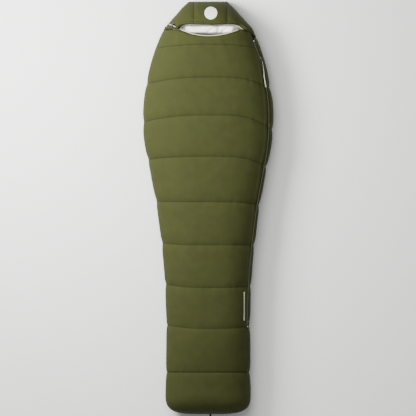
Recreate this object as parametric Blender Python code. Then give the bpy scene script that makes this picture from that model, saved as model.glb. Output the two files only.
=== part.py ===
"""A mummy sleeping bag on its back: three-layer quilted body, hood, foot box, side zip and trim.

Frame: metres, +Z up, the bag lies on its back on z = 0, +Y runs to the head and +X to the zip
side. The front's zip-side half above the knees is a flap, which turns about the line of its crown.
"""

import math

import bmesh
import bpy
import numpy as np
from mathutils import Matrix, Vector

# Overall size.
FOOT_END_Y = -1.10
HOOD_END_Y = 1.10
CROWN_Z = 0.265
SIDE_Z = 0.09
HOOD_EDGE_Z = 0.05

# Side line of the zip, seen from above: an arc at the shoulders, a straight run, an arc at the legs.
SHOULDER_ARC = (-0.827, 0.46, 1.153)
LEG_ARC = (4.370, -0.65, 4.160)
SIDE_SLOPE = 0.2
SHOULDER_BULGE = 0.020
LEG_BULGE = 0.011
FOOT_BULGE = 0.0135

# Cross section: a superellipse, flattened where it lies on the ground.
ROUNDNESS = 2.5
FLAT_FROM_DEG = 70.0

# Layers, as depths below the outer surface.
SHELL_LAYER = (0.0, 0.0010)
FILL_LAYER = (0.0016, 0.0300)
LINER_LAYER = (0.0306, 0.0316)

# Ends and seams.
FOOT_BOX_Y = -0.875
FOOT_ROUND_Y = -0.98
HOOD_ROUND_Y = 0.93
HOOD_SEAM_Y = 0.901
HOOD_CORNER_Y = 0.955
HOOD_END_HALF_WIDTH = 0.104
FLAP_END_Y = -0.4255
SEAM_GAP = 0.0012
RIM_MIDDLE_Y = 0.912
RIM_RISE = 0.036
RIM_TIPS = (0.78, 0.66)
FACE_TIPS = (0.84, 0.70)
FACE_GAP = 0.059
CHANNEL = 0.014
CORD_IN_CHANNEL = 0.004

# Zip.
ZIP_Z = 0.168
ZIP_TOP_Y = 0.885
ZIP_END_Y = -0.630
ZIP_EDGE = 0.010
COIL_NEAR = 0.0015
COIL_FAR = 0.0035
COIL_HALF = 0.0013
TAPE_HALF = 0.0005
TAPE_NEAR = 0.0039
TAPE_FAR = 0.0095
TAPE_LEAN = 0.0037
STOP_HALF = 0.0016
STOP_NEAR = 0.0008
STOP_FAR = 0.0036
MAIN_SLIDER_Y = 0.795
LOWER_SLIDER_Y = -0.605
SLIDER_HALF_LENGTH = 0.006
SLIDER_INNER = 0.0022
SLIDER_OUTER = 0.0037
SLIDER_TIP = 0.0050
SLIDER_BRIDGE = 0.0012
SLIDER_BASE = -0.0002
SLIDER_REACH = 0.0082
SLIDER_PIVOT = 0.0060
EAR = 0.0010
EAR_ROOT = 0.0004
EAR_HALF_LENGTH = 0.0018
DRAFT_TUBE_RADIUS = 0.013
DRAFT_TUBE_Z = 0.198
DRAFT_TUBE_IN = 0.017
DRAFT_TUBE_DOWN = 0.005
DRAFT_TUBE_ENDS_Y = (FLAP_END_Y + 0.012, 0.858)
DRAFT_TUBE_POINTS = 14

# Small trim.
CORD_RADIUS = 0.00125
TAB_THICKNESS = 0.0014
TAB_MIDDLE = 0.0024
STRAP_LENGTH = 0.140
STRAP_RINGS = 12
STRAP_END_OUT = -0.0040
STRAP_END_UP = 0.0168
STRAP_LEAN = 0.54
LOCK_HALF_LENGTH = 0.009
LOCK_HALF_HEIGHT = 0.0042
LOCK_CLEARANCE = 0.0078
LOCK_BORE_END = -0.0076
LOCK_DEG = 37.5
CORD_EXIT = (-0.172, 0.9605)
CORD_DEPTH = 0.006
TAIL_MIDDLE = (-0.200, 0.9727)
TAIL_EDGE_Y = 0.979
TAIL_ARC_DEG = (0.0, 40.5)
TAIL_END_POINTS = (
    (-0.2155, 0.983, 0.0600), (-0.2120, 0.985, 0.0350), (-0.2050, 0.986, 0.0140),
    (-0.1960, 0.984, 0.0040), (-0.1850, 0.978, 0.0017),
)  # fmt: skip
KNOT_RADIUS = 0.0042
KNOT_FLATNESS = 0.75
KNOT_Z = 0.00345
KNOT_AHEAD = 0.0045
LOCK_HALF_WIDTH = 0.0050
LOCK_ROUNDING = 0.0015
LOCK_BORE_RADIUS = 0.0029
LOCK_HOLE_RADIUS = 0.0018
PLUNGER_RADIUS = 0.0026
PLUNGER_LOW = -0.0035
PLUNGER_STANDS_OUT = 0.0045
PLUNGER_TRAVEL = 0.003
SPRING_RADIUS = 0.0016
SPRING_WIRE_RADIUS = 0.00025
EYELET_RINGS = ((0.0042, 0.0), (0.0040, 0.0010), (0.0022, 0.0010), (0.0020, 0.0))
EYELET_SIDES = 20
LOOP_X = 0.013
LOOP_REACH = 0.0122
LOOP_THICKNESS = 0.0012
LOOP_HALF_WIDTH = 0.005
HOOD_MARK = (0.015, 1.032, 0.033)

OLIVE = (0.125, 0.137, 0.035)
OLIVE_DARK = (0.080, 0.090, 0.022)
WADDING = (0.80, 0.80, 0.78)
LINING = (0.62, 0.61, 0.56)
BLACK = (0.010, 0.010, 0.010)
PALE = (0.70, 0.69, 0.64)
STEEL = (0.55, 0.55, 0.55)


def clear_scene():
    for obj in list(bpy.data.objects):
        bpy.data.objects.remove(obj, do_unlink=True)


def material(name, colour, roughness=0.8, metallic=0.0):
    made = bpy.data.materials.new(name)
    made.use_nodes = True
    shader = made.node_tree.nodes["Principled BSDF"]
    shader.inputs["Base Color"].default_value = (*colour, 1.0)
    shader.inputs["Roughness"].default_value = roughness
    shader.inputs["Metallic"].default_value = metallic
    return made


def place(obj, finish, parent=None):
    bpy.context.scene.collection.objects.link(obj)
    obj.data.materials.append(finish)
    obj.parent = parent
    return obj


def mesh_object(name, points, faces, finish, parent=None):
    mesh = bpy.data.meshes.new(name)
    mesh.from_pydata([tuple(map(float, p)) for p in points], [], faces)
    shape = bmesh.new()
    shape.from_mesh(mesh)
    bmesh.ops.remove_doubles(shape, verts=shape.verts, dist=1e-6)
    bmesh.ops.recalc_face_normals(shape, faces=shape.faces)
    shape.to_mesh(mesh)
    shape.free()
    mesh.shade_smooth()
    mesh.set_sharp_from_angle(angle=math.radians(40))
    return place(bpy.data.objects.new(name, mesh), finish, parent)


# ---------------------------------------------------------------- outline and cross section


def smooth(low, high, value):
    """0 below low, 1 above high, with an even slope at both ends."""
    share = min(1.0, max(0.0, (value - low) / (high - low)))
    return share * share * (3 - 2 * share)


def superellipse(share, power):
    """The other side's share of its half axis, where this one's is share."""
    return (1 - min(1.0, abs(share)) ** power) ** (1 / power)


def side_line(y):
    """Distance of the zip and of the side seam from the middle, seen from above."""
    centre_x, centre_y, radius = SHOULDER_ARC
    arc_end_y = centre_y - radius * math.sin(math.atan(SIDE_SLOPE))
    arc_end_x = centre_x + math.sqrt(radius**2 - (arc_end_y - centre_y) ** 2)
    if y > arc_end_y:
        return centre_x + math.sqrt(radius**2 - (y - centre_y) ** 2)
    leg_x, leg_y, leg_radius = LEG_ARC
    leg_start_y = leg_y + leg_radius * math.sin(math.atan(SIDE_SLOPE))
    if y > leg_start_y:
        return arc_end_x - SIDE_SLOPE * (arc_end_y - y)
    if y > leg_y:
        return leg_x - math.sqrt(leg_radius**2 - (y - leg_y) ** 2)
    return leg_x - leg_radius


def half_width(y):
    """Half of the bag's width from above: the side line and the quilts that stand past it."""
    if y > HOOD_CORNER_Y:
        corner = side_line(HOOD_CORNER_Y) + SHOULDER_BULGE
        share = (y - HOOD_CORNER_Y) / (HOOD_END_Y - HOOD_CORNER_Y)
        return corner + (HOOD_END_HALF_WIDTH - corner) * share
    bulge = LEG_BULGE + (SHOULDER_BULGE - LEG_BULGE) * smooth(0.15, 0.45, y)
    bulge += (FOOT_BULGE - LEG_BULGE) * smooth(0.60, 0.80, -y)
    return side_line(y) + bulge


def station(s, depth):
    """(y, half width, top, bottom, side height) of the section at s, for a surface this deep."""
    top = CROWN_Z - 0.025 * smooth(0.65, 1.0, -s)
    if s > HOOD_ROUND_Y:
        share = (s - HOOD_ROUND_Y) / (HOOD_END_Y - HOOD_ROUND_Y)
        y = HOOD_ROUND_Y + share * (HOOD_END_Y - HOOD_ROUND_Y - depth)
        side = SIDE_Z - (SIDE_Z - HOOD_EDGE_Z) * share**2
        high = HOOD_EDGE_Z + (top - HOOD_EDGE_Z - depth) * superellipse(share, 2.2)
        low = HOOD_EDGE_Z - (HOOD_EDGE_Z - depth) * superellipse(share, 6)
        return y, half_width(s) - depth, max(high, side), min(low, side), side
    if s < FOOT_ROUND_Y:
        share = (FOOT_ROUND_Y - s) / (FOOT_ROUND_Y - FOOT_END_Y)
        y = FOOT_ROUND_Y - share * (FOOT_ROUND_Y - FOOT_END_Y - depth)
        wide = (half_width(s) - depth) * superellipse(share, 4)
        tall = superellipse(share, 2.6)
        side = SIDE_Z + 0.02 * share
        return y, wide, side + (top - side - depth) * tall, side - (side - depth) * tall, side
    return s, half_width(s) - depth, top - depth, depth, SIDE_Z


def zip_shift(s):
    """How far the section moves out at the zip, so that its edge lies on the side line."""
    if not -0.75 < s < HOOD_ROUND_Y:
        return 0.0
    _, wide, top, _, side = station(s, 0.0)
    on_section = wide * superellipse((ZIP_Z - side) / (top - side), ROUNDNESS)
    return (side_line(s) - on_section) * smooth(-0.75, -0.65, s) * (1 - smooth(0.90, 0.93, s))


def section_point(angle, s, depth):
    """A point of the surface at this depth. The angle runs from +X over the crown, in degrees."""
    y, wide, top, bottom, side = station(s, depth)
    cosine = math.cos(math.radians(angle))
    sine = math.sin(math.radians(angle))
    power = 2 / ROUNDNESS
    x = wide * math.copysign(abs(cosine) ** power, cosine)
    rise = abs(sine) ** power
    if sine >= 0:
        z = side + (top - side) * rise
    else:
        flat = math.sin(math.radians(FLAT_FROM_DEG)) ** power
        z = side - (side - bottom) * min(1.0, rise / flat)
    if x > 0:
        x += zip_shift(s) * math.exp(-(((z - ZIP_Z) / 0.03) ** 2))
    return (x, y, z)


def angle_at_height(height, s, depth):
    """Angle at which the zip side's upper quarter reaches this height."""
    _, _, top, _, side = station(s, depth)
    rise = min(1.0, max(0.0, (height - side) / (top - side)))
    return math.degrees(math.asin(rise ** (ROUNDNESS / 2)))


def zip_edge(s):
    """Half of the gap between front and back: the zip's own width, or a seam's below it."""
    return SEAM_GAP / 2 + (ZIP_EDGE - SEAM_GAP / 2) * smooth(ZIP_END_Y - 0.029, ZIP_END_Y - 0.007, s)


def front_angle(share, s, depth):
    """Angle of the front's surface: share 0 at the zip, 0.5 at the crown, 1 at the left seam."""
    if share <= 0.5:
        low = angle_at_height(ZIP_Z + zip_edge(s), s, depth)
        return low + (90 - low) * share * 2
    _, _, top, _, side = station(s, depth)
    low = math.degrees(math.asin((SEAM_GAP / 2 / (top - side)) ** (ROUNDNESS / 2)))
    return 90 + (90 - low) * (share - 0.5) * 2


def back_angle(share, s, depth):
    """Angle of the back's surface: share 0 at the left seam, 1 at the zip."""
    high = 360 + angle_at_height(ZIP_Z - zip_edge(s), s, depth)
    return 181 + (high - 181) * share


def share_across(angle):
    """Distance from the middle, as a share of the half width."""
    return abs(math.cos(math.radians(angle))) ** (2 / ROUNDNESS)


def angle_across(share):
    """The angle, on the zip side, that lies at this share of the half width."""
    return math.degrees(math.acos(share ** (ROUNDNESS / 2)))


def rim_y(angle):
    """The front's upper edge: low in the middle, up to a tip, and on the zip side down again."""
    across = share_across(angle)
    left = angle > 90
    tip = RIM_TIPS[left]
    if across < tip:
        return RIM_MIDDLE_Y + RIM_RISE * (across / tip) ** 2
    fall = 0.0 if left else 0.046 * ((across - tip) / (1 - tip)) ** 2
    return RIM_MIDDLE_Y + RIM_RISE - fall


def hood_rim_y(angle):
    """The hood's lower edge: it leaves the face open, and meets the front beyond the tips."""
    tip = FACE_TIPS[angle > 90]
    face = FACE_GAP * math.sqrt(max(0.0, 1 - (share_across(angle) / tip) ** 2))
    return rim_y(angle) + 0.004 + face


def surface_at(x, s, depth):
    """The point of the upper surface at this x."""
    angle = angle_across(abs(x) / half_width(s))
    return section_point(angle if x > 0 else 180 - angle, s, depth)


# ---------------------------------------------------------------- solids from grids


def thick_surface(name, outer, inner, finish, cells=None, wrap=False):
    """One closed solid between two grids of points, with a wall along each open edge."""
    rows, cols = len(outer), len(outer[0])
    count = rows * cols
    top = []
    for r in range(rows - 1):
        for c in range(cols if wrap else cols - 1):
            if cells is not None and not cells(r, c):
                continue
            a = r * cols + c
            b = r * cols + (c + 1) % cols
            top.append((a, b, b + cols))
            top.append((a, b + cols, a + cols))
    edges = {(f[i], f[(i + 1) % 3]) for f in top for i in range(3)}
    faces = list(top)
    faces += [(c + count, b + count, a + count) for a, b, c in top]
    for a, b in sorted(edges):
        if (b, a) not in edges:
            faces.append((b, a, a + count))
            faces.append((b, a + count, b + count))
    points = [p for row in outer for p in row] + [p for row in inner for p in row]
    used = sorted({i for f in faces for i in f})
    index = {old: new for new, old in enumerate(used)}
    faces = [tuple(index[i] for i in f) for f in faces]
    return mesh_object(name, [points[i] for i in used], faces, finish)


def layer(name, depths, finish, surface, cells=None, wrap=False):
    """A layer of the bag. surface(depth) gives its grid of points at one depth."""
    return thick_surface(name, surface(depths[0]), surface(depths[1]), finish, cells, wrap)


LEG_ROWS = (-0.8735, -0.76, ZIP_END_Y - 0.030, ZIP_END_Y - 0.006, -0.53)
BACK_ROWS = (*LEG_ROWS, -0.41, -0.27, -0.13, 0.01, 0.15, 0.29, 0.43, 0.57, 0.71, 0.82, 0.90)
FLAP_SHARES = (0.0, 0.15, 0.30, 0.45, 0.60, 0.75, 0.88, 1.0)
FRONT_COLUMNS = 9


def front_grid(depth):
    """The front: rows from the foot box to the rim, columns from the zip to the left seam."""
    shares = [c / (FRONT_COLUMNS - 1) for c in range(FRONT_COLUMNS)]
    rows = []
    for s in LEG_ROWS:
        rows.append([section_point(front_angle(q, s, depth), s, depth) for q in shares])
    low = FLAP_END_Y - SEAM_GAP / 2
    for part in FLAP_SHARES:
        row = []
        for q in shares:
            end = rim_y(front_angle(q, HOOD_SEAM_Y, 0.0))
            s = low + (end - low) * part
            row.append(section_point(front_angle(q, s, depth), s, depth))
        rows.append(row)
    middle = FRONT_COLUMNS // 2
    for row in rows:
        row[middle] = (-SEAM_GAP / 2, *row[middle][1:])
    return rows


def front_cells(row, column):
    """The front is whole below the knees, and above them it is only the side away from the zip."""
    return row < len(LEG_ROWS) or column >= FRONT_COLUMNS // 2


def flap_grid(depth):
    """The flap: the zip side of the front, from the knees to the rim."""
    columns = FRONT_COLUMNS // 2 + 1
    low = FLAP_END_Y + SEAM_GAP / 2
    rows = []
    for part in FLAP_SHARES:
        row = []
        for c in range(columns):
            q = c / (FRONT_COLUMNS - 1)
            end = rim_y(front_angle(q, HOOD_SEAM_Y, 0.0))
            s = low + (end - low) * part
            row.append(section_point(front_angle(q, s, depth), s, depth))
        row[-1] = (SEAM_GAP / 2, *row[-1][1:])
        rows.append(row)
    return rows


def back_grid(depth):
    """The back: from the left seam round the underside to the zip."""
    shares = [c / 14 for c in range(15)]
    return [[section_point(back_angle(q, s, depth), s, depth) for q in shares] for s in BACK_ROWS]


def foot_grid(depth):
    """The foot box: full rings that close to one point at the foot's end."""
    straight = [FOOT_BOX_Y - 0.0005, -0.93, FOOT_ROUND_Y]
    length = FOOT_ROUND_Y - FOOT_END_Y
    rounded = [FOOT_ROUND_Y - share * length for share in (0.35, 0.6, 0.8, 0.92, 0.985, 1.0)]
    angles = [i * 360 / 22 for i in range(22)]
    return [[section_point(a, s, depth) for a in angles] for s in straight + rounded]


HOOD_ROWS = (0.0, 0.18, 0.36, 0.54, 0.72, 0.86, 0.95, 1.0)
SLACK_MIDDLE_X = 0.015
SLACK_HEIGHT = 0.180
SLACK_ACROSS = (0.090, 0.170)
SLACK_RISES = (0.896, 0.938)
SLACK_FALLS = (0.956, 0.996)
SLACK_COLUMNS = 24
SLACK_ROWS = (
    0.902, 0.910, 0.917, 0.924, 0.931, 0.938, 0.947, 0.956, 0.963, 0.970, 0.977, 0.984, 0.991,
    1.000, 1.012, 1.040, 1.080, 1.098,
)  # fmt: skip
SLACK_LAYER = (0.0400, 0.0422)
HOOD_COLUMNS = (1.0, 17.0, 33.0, 49.0, 66.0, 80.0, 94.0, 108.0, 126.0, 144.0, 162.0, 179.0)
HOOD_SEAM_COLUMNS = (4, 7)


def hood_back_grid(depth):
    """The hood's back: from the neck seam to the straight top edge."""
    low = HOOD_SEAM_Y + 0.001
    rows = []
    for share in HOOD_ROWS:
        s = low + (HOOD_END_Y - low) * share
        row = [section_point(181 + 178 * c / 10, s, depth) for c in range(11)]
        rows.append([(x, y, z - SEAM_GAP / 2 * min(1.0, z / HOOD_EDGE_Z)) for x, y, z in row])
    return rows


def slack_lining_grid(depth):
    """The hood's back lining, whose slack billows up into the face opening."""
    x0, height = SLACK_MIDDLE_X, SLACK_HEIGHT
    rows = []
    for s in SLACK_ROWS:
        row = []
        for c in range(SLACK_COLUMNS + 1):
            x, y, z = section_point(181 + 178 * c / SLACK_COLUMNS, s, depth)
            across = 1 - smooth(*SLACK_ACROSS, abs(x - x0))
            along = smooth(*SLACK_RISES, y) * (1 - smooth(*SLACK_FALLS, y))
            z -= SEAM_GAP / 2 * min(1.0, z / HOOD_EDGE_Z)
            row.append((x, y, z + height * across * along))
        rows.append(row)
    return rows


def hood_front_grid(angles, in_channel=True):
    """Columns of the hood's front at these angles, from the rim to the straight top edge.

    The first row of cells is the drawcord's channel, which the wadding leaves free.
    """

    def grid(depth):
        rows = []
        for share in (None, *HOOD_ROWS) if in_channel else HOOD_ROWS:
            row = []
            for angle in angles:
                low = hood_rim_y(angle)
                inner = low + CHANNEL
                s = low if share is None else inner + (HOOD_END_Y - inner) * share
                row.append(section_point(angle, s, depth))
            rows.append([(x, y, z + SEAM_GAP / 2) for x, y, z in row])
        return rows

    return grid


def make_quilted_layers(shell, fill, lining):
    """The bag's layers: outer shell, wadding and lining of each panel."""
    layer("front_shell", SHELL_LAYER, shell, front_grid, front_cells)
    layer("front_fill", FILL_LAYER, fill, front_grid, front_cells)
    layer("front_liner", LINER_LAYER, lining, front_grid, front_cells)
    layer("flap_shell", SHELL_LAYER, shell, flap_grid)
    layer("flap_fill", FILL_LAYER, fill, flap_grid)
    layer("flap_liner", LINER_LAYER, lining, flap_grid)
    layer("back_shell", SHELL_LAYER, shell, back_grid)
    layer("back_fill", FILL_LAYER, fill, back_grid)
    layer("back_liner", LINER_LAYER, lining, back_grid)
    layer("foot_box_shell", SHELL_LAYER, shell, foot_grid, wrap=True)
    layer("foot_box_fill", FILL_LAYER, fill, foot_grid, wrap=True)
    layer("foot_box_liner", LINER_LAYER, lining, foot_grid, wrap=True)
    layer("hood_back_shell", SHELL_LAYER, shell, hood_back_grid)
    layer("hood_back_fill", FILL_LAYER, fill, hood_back_grid)
    layer("hood_back_liner", SLACK_LAYER, lining, slack_lining_grid)


def make_hood_front(shell, fill, lining):
    """Three outer panels side by side, over one fill and one lining."""
    right, left = HOOD_SEAM_COLUMNS
    columns = HOOD_COLUMNS
    gap = 0.15
    panels = {
        "hood_right_panel": (*columns[:right], columns[right] - gap),
        "hood_centre_panel": (columns[right] + gap, *columns[right + 1 : left], columns[left] - gap),
        "hood_left_panel": (columns[left] + gap, *columns[left + 1 :]),
    }
    for name, angles in panels.items():
        layer(name, SHELL_LAYER, shell, hood_front_grid(angles))
    layer("hood_front_fill", FILL_LAYER, fill, hood_front_grid(columns, False))
    layer("hood_front_liner", LINER_LAYER, lining, hood_front_grid(columns))


# ---------------------------------------------------------------- zip


def swept(name, path, profile, finish, parent=None):
    """A profile of (outward, up) points carried along a level path, with flat ends."""
    path = np.array(path, float)
    along = np.gradient(path[:, :2], axis=0)
    along /= np.linalg.norm(along, axis=1)[:, None]
    points = []
    for centre, (tx, ty) in zip(path, along):
        for out, up in profile:
            points.append((centre[0] + ty * out, centre[1] - tx * out, centre[2] + up))
    sides, rows = len(profile), len(path)
    faces = [tuple(range(sides)), tuple((rows - 1) * sides + i for i in reversed(range(sides)))]
    for r in range(rows - 1):
        for i in range(sides):
            j = (i + 1) % sides
            low = r * sides
            faces.append((low + i, low + j, low + sides + j, low + sides + i))
    return mesh_object(name, points, faces, finish, parent)


def zip_path(low, high, count):
    """Points on the zip's line, from the foot towards the head."""
    ys = [low + (high - low) * i / (count - 1) for i in range(count)]
    return [(side_line(y), y, ZIP_Z) for y in ys]


def rectangle(x0, x1, z0, z1):
    return [(x0, z0), (x1, z0), (x1, z1), (x0, z1)]


def zip_profiles(side):
    """(tape, coil) profiles, for the front (side 1) or the back (side -1) of the zip."""
    lean = -side * TAPE_LEAN
    tape = [
        (-TAPE_HALF, side * TAPE_NEAR),
        (TAPE_HALF, side * TAPE_NEAR),
        (TAPE_HALF + lean, side * TAPE_FAR),
        (-TAPE_HALF + lean, side * TAPE_FAR),
    ]
    near, far = sorted((side * COIL_NEAR, side * COIL_FAR))
    return tape, rectangle(-COIL_HALF, COIL_HALF, near, far)


def make_zip(tape_finish, coil_finish, stop_finish):
    front_tape, front_coil = zip_profiles(1)
    back_tape, back_coil = zip_profiles(-1)
    knee = FLAP_END_Y
    flap_path = zip_path(knee + SEAM_GAP / 2, ZIP_TOP_Y, 26)
    knee_path = zip_path(ZIP_END_Y, knee - SEAM_GAP / 2, 4)
    back_path = zip_path(ZIP_END_Y, ZIP_TOP_Y, 30)
    swept("flap_zip_tape", flap_path, front_tape, tape_finish)
    swept("flap_zip_coil", flap_path, front_coil, coil_finish)
    swept("knee_zip_tape", knee_path, front_tape, tape_finish)
    swept("knee_zip_coil", knee_path, front_coil, coil_finish)
    swept("back_zip_tape", back_path, back_tape, tape_finish)
    swept("back_zip_coil", back_path, back_coil, coil_finish)
    end = zip_path(ZIP_END_Y - 0.0045, ZIP_END_Y - 0.0005, 2)
    half, near, far = STOP_HALF, STOP_NEAR, STOP_FAR
    swept("zip_bottom_stop", end, rectangle(-half, half, -far, far), stop_finish)
    top = zip_path(ZIP_TOP_Y + 0.0005, ZIP_TOP_Y + 0.004, 2)
    swept("flap_top_stop", top, rectangle(-half, half, near, far), stop_finish)
    swept("back_top_stop", top, rectangle(-half, half, -far, -near), stop_finish)


def make_draft_tube(finish):
    """The padded tube behind the zip, sewn to the flap's lining."""
    depth = LINER_LAYER[1]
    points = []
    for y in np.linspace(*DRAFT_TUBE_ENDS_Y, DRAFT_TUBE_POINTS):
        angle = angle_at_height(DRAFT_TUBE_Z, y, depth)
        x, _, z = section_point(angle, y, depth)
        points.append((x - DRAFT_TUBE_RADIUS - DRAFT_TUBE_IN, y, z - DRAFT_TUBE_DOWN))
    tube("draft_tube", points, DRAFT_TUBE_RADIUS, 2, finish)


def empty_at(name, location, turn):
    """An empty that a moving group is parented to, turned about Z."""
    empty = bpy.data.objects.new(name, None)
    empty.location = location
    empty.rotation_euler = (0.0, 0.0, turn)
    bpy.context.scene.collection.objects.link(empty)
    bpy.context.view_layer.update()
    return empty


def slider_seat(name, y):
    """The empty of a slider: x points out of the zip, y runs along it towards the head."""
    slope = (side_line(y + 1e-4) - side_line(y - 1e-4)) / 2e-4
    return empty_at(name, (side_line(y), y, ZIP_Z), -math.atan(slope))


def make_slider(prefix, y, side, body_finish, tab_finish):
    """A slider and the pull tab that turns on its two ears.

    Side 1 straddles the front's coil and has its tab towards the foot. Side -1 straddles the
    back's coil and has its tab towards the head.
    """
    seat = slider_seat(prefix + "_seat", y)
    inner, outer, reach = SLIDER_INNER, SLIDER_OUTER, SLIDER_REACH
    tip, bridge, base = SLIDER_TIP * side, SLIDER_BRIDGE * side, SLIDER_BASE * side
    outline = [
        (-outer, base), (-outer, tip), (-inner, tip), (-inner, bridge),
        (inner, bridge), (inner, tip), (outer, tip), (outer, base),
    ]  # fmt: skip
    body = prism(prefix + "_body", outline, SLIDER_HALF_LENGTH, body_finish, seat)
    for name, end, inwards in (("_tip_ear", tip, -side * EAR), ("_base_ear", base, side * EAR)):
        low, high = sorted((end, end + inwards))
        corner = (outer - EAR_ROOT, -EAR_HALF_LENGTH, low)
        piece = box_object(prefix + name, corner, (reach, EAR_HALF_LENGTH, high), body_finish, seat)
        boolean(body, cutter(piece), "UNION")
    pivot = bpy.data.objects.new(prefix + "_pivot", None)
    pivot.location = (SLIDER_PIVOT, 0.0, 0.0)
    pivot.parent = seat
    bpy.context.scene.collection.objects.link(pivot)
    make_pull_tab(prefix + "_pull_tab", side, tab_finish, pivot)
    return pivot


def box_points(low, high):
    return [(x, y, z) for x in (low[0], high[0]) for y in (low[1], high[1]) for z in (low[2], high[2])]


BOX_FACES = [(0, 1, 3, 2), (4, 6, 7, 5), (0, 4, 5, 1), (2, 3, 7, 6), (0, 2, 6, 4), (1, 5, 7, 3)]


def box_object(name, low, high, finish, parent=None):
    return mesh_object(name, box_points(low, high), BOX_FACES, finish, parent)


def cutter(obj):
    """Keeps a helper out of the render and draws it as a wire."""
    obj.hide_render = True
    obj.display_type = "WIRE"
    return obj


def boolean(obj, other, operation):
    modifier = obj.modifiers.new(operation.lower() + "_" + other.name, "BOOLEAN")
    modifier.operation = operation
    modifier.object = other
    modifier.solver = "EXACT"


def prism(name, profile, half, finish, parent):
    """A profile of (x, z) points drawn out along y by half its length each way."""
    points = [(x, y, z) for y in (-half, half) for x, z in profile]
    sides = len(profile)
    faces = [tuple(range(sides)), tuple(reversed(range(sides, 2 * sides)))]
    for i in range(sides):
        j = (i + 1) % sides
        faces.append((i, j, sides + j, sides + i))
    return mesh_object(name, points, faces, finish, parent)


def make_pull_tab(name, side, finish, parent):
    """A flat tab: a narrow neck between the slider's ears, then a wider grip."""
    neck, grip, middle = 0.0012, 0.0035, TAB_MIDDLE * side
    outline = [
        (0.0012, middle - neck), (0.0012, middle + neck), (-0.0035, middle + neck),
        (-0.0055, middle + grip), (-0.0145, middle + grip), (-0.0165, middle + neck),
        (-0.0165, middle - neck), (-0.0145, middle - grip), (-0.0055, middle - grip),
        (-0.0035, middle - neck),
    ]  # fmt: skip
    half = TAB_THICKNESS / 2
    points = [(x, y * side, z) for x in (-half, half) for y, z in outline]
    sides = len(outline)
    faces = [tuple(range(sides)), tuple(reversed(range(sides, 2 * sides)))]
    for i in range(sides):
        j = (i + 1) % sides
        faces.append((i, j, sides + j, sides + i))
    return mesh_object(name, points, faces, finish, parent)


def make_pull_strap(finish, pivot):
    """The long woven pull: a flat strap from the main tab's end, which lies along the zip."""
    centre_x, centre_y, radius = SHOULDER_ARC
    start = math.asin((MAIN_SLIDER_Y - centre_y) / radius)
    rings = []
    for i in range(STRAP_RINGS):
        share = i / (STRAP_RINGS - 1)
        angle = start - (0.0169 + STRAP_LENGTH * share) / radius
        drift = smooth(0.0, 0.9, share)
        out = SLIDER_PIVOT + (STRAP_END_OUT - SLIDER_PIVOT) * drift
        up = TAB_MIDDLE + (STRAP_END_UP - TAB_MIDDLE) * drift
        lean = STRAP_LEAN * drift
        ring = []
        for thick, wide in rectangle(-0.0008, 0.0008, -0.0040, 0.0040):
            across = out + thick * math.cos(lean) - wide * math.sin(lean)
            height = up + thick * math.sin(lean) + wide * math.cos(lean)
            x = centre_x + (radius + across) * math.cos(angle)
            y = centre_y + (radius + across) * math.sin(angle)
            ring.append((x, y, ZIP_Z + height))
        rings.append(ring)
    points = [p for ring in rings for p in ring]
    last = (STRAP_RINGS - 1) * 4
    faces = [(0, 1, 2, 3), (last + 3, last + 2, last + 1, last)]
    for low in range(0, last, 4):
        for i in range(4):
            j = (i + 1) % 4
            faces.append((low + i, low + j, low + 4 + j, low + 4 + i))
    strap = mesh_object("main_slider_pull_strap", points, faces, finish, pivot)
    bpy.context.view_layer.update()
    strap.data.transform(pivot.matrix_world.inverted())
    return strap


def make_zip_tab(finish, patch_finish):
    """The tab that closes over the zip's top end, and the patch that it grips on the back."""
    y0, y1 = ZIP_TOP_Y + 0.0055, ZIP_TOP_Y + 0.0145
    path = [(side_line(y), y, ZIP_Z) for y in (y0, y1)]
    tab = [(0.0030, 0.0120), (0.0136, -0.0180), (0.0152, -0.0180), (0.0046, 0.0120)]
    patch = [(0.0095, -0.0115), (0.0118, -0.0175), (0.0126, -0.0175), (0.0103, -0.0115)]
    swept("zip_garage_tab", path, tab, finish)
    swept("garage_tab_patch", path, patch, patch_finish)


# ---------------------------------------------------------------- cords and trim


def tube(name, points, radius, resolution, finish, parent=None):
    """A round cord through the points, with filled ends."""
    curve = bpy.data.curves.new(name, "CURVE")
    curve.dimensions = "3D"
    curve.bevel_depth = radius
    curve.bevel_resolution = resolution
    curve.use_fill_caps = True
    spline = curve.splines.new("POLY")
    spline.points.add(len(points) - 1)
    for point, place_at in zip(spline.points, points):
        point.co = (*place_at, 1.0)
    return place(bpy.data.objects.new(name, curve), finish, parent)


def smooth_route(points, count):
    """Evenly spaced points on a smooth curve (Catmull-Rom) through the route's own points."""
    knots = np.array(points, float)
    knots = np.vstack([2 * knots[0] - knots[1], knots, 2 * knots[-1] - knots[-2]])
    fine = []
    for i in range(1, len(knots) - 2):
        a, b, c, d = knots[i - 1 : i + 3]
        for t in np.linspace(0, 1, 24, endpoint=False):
            square = (2 * a - 5 * b + 4 * c - d) * t**2
            cube = (3 * b - a - 3 * c + d) * t**3
            fine.append(0.5 * (2 * b + (c - a) * t + square + cube))
    fine.append(knots[-2])
    fine = np.array(fine)
    run = np.concatenate([[0], np.cumsum(np.linalg.norm(np.diff(fine, axis=0), axis=1))])
    even = np.linspace(0, run[-1], count)
    return list(zip(*(np.interp(even, run, fine[:, k]) for k in range(3))))


def make_rim_cord(finish):
    """The drawcord inside the hood's rim, between shell and lining, from its anchor to the exit."""
    start, end = angle_across(0.76), 180 - angle_across(0.67)
    points = []
    for i in range(44):
        angle = start + (end - start) * i / 43
        points.append(section_point(angle, hood_rim_y(angle) + CORD_IN_CHANNEL, CORD_DEPTH))
    tube("rim_drawcord", points, CORD_RADIUS, 2, finish)


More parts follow.
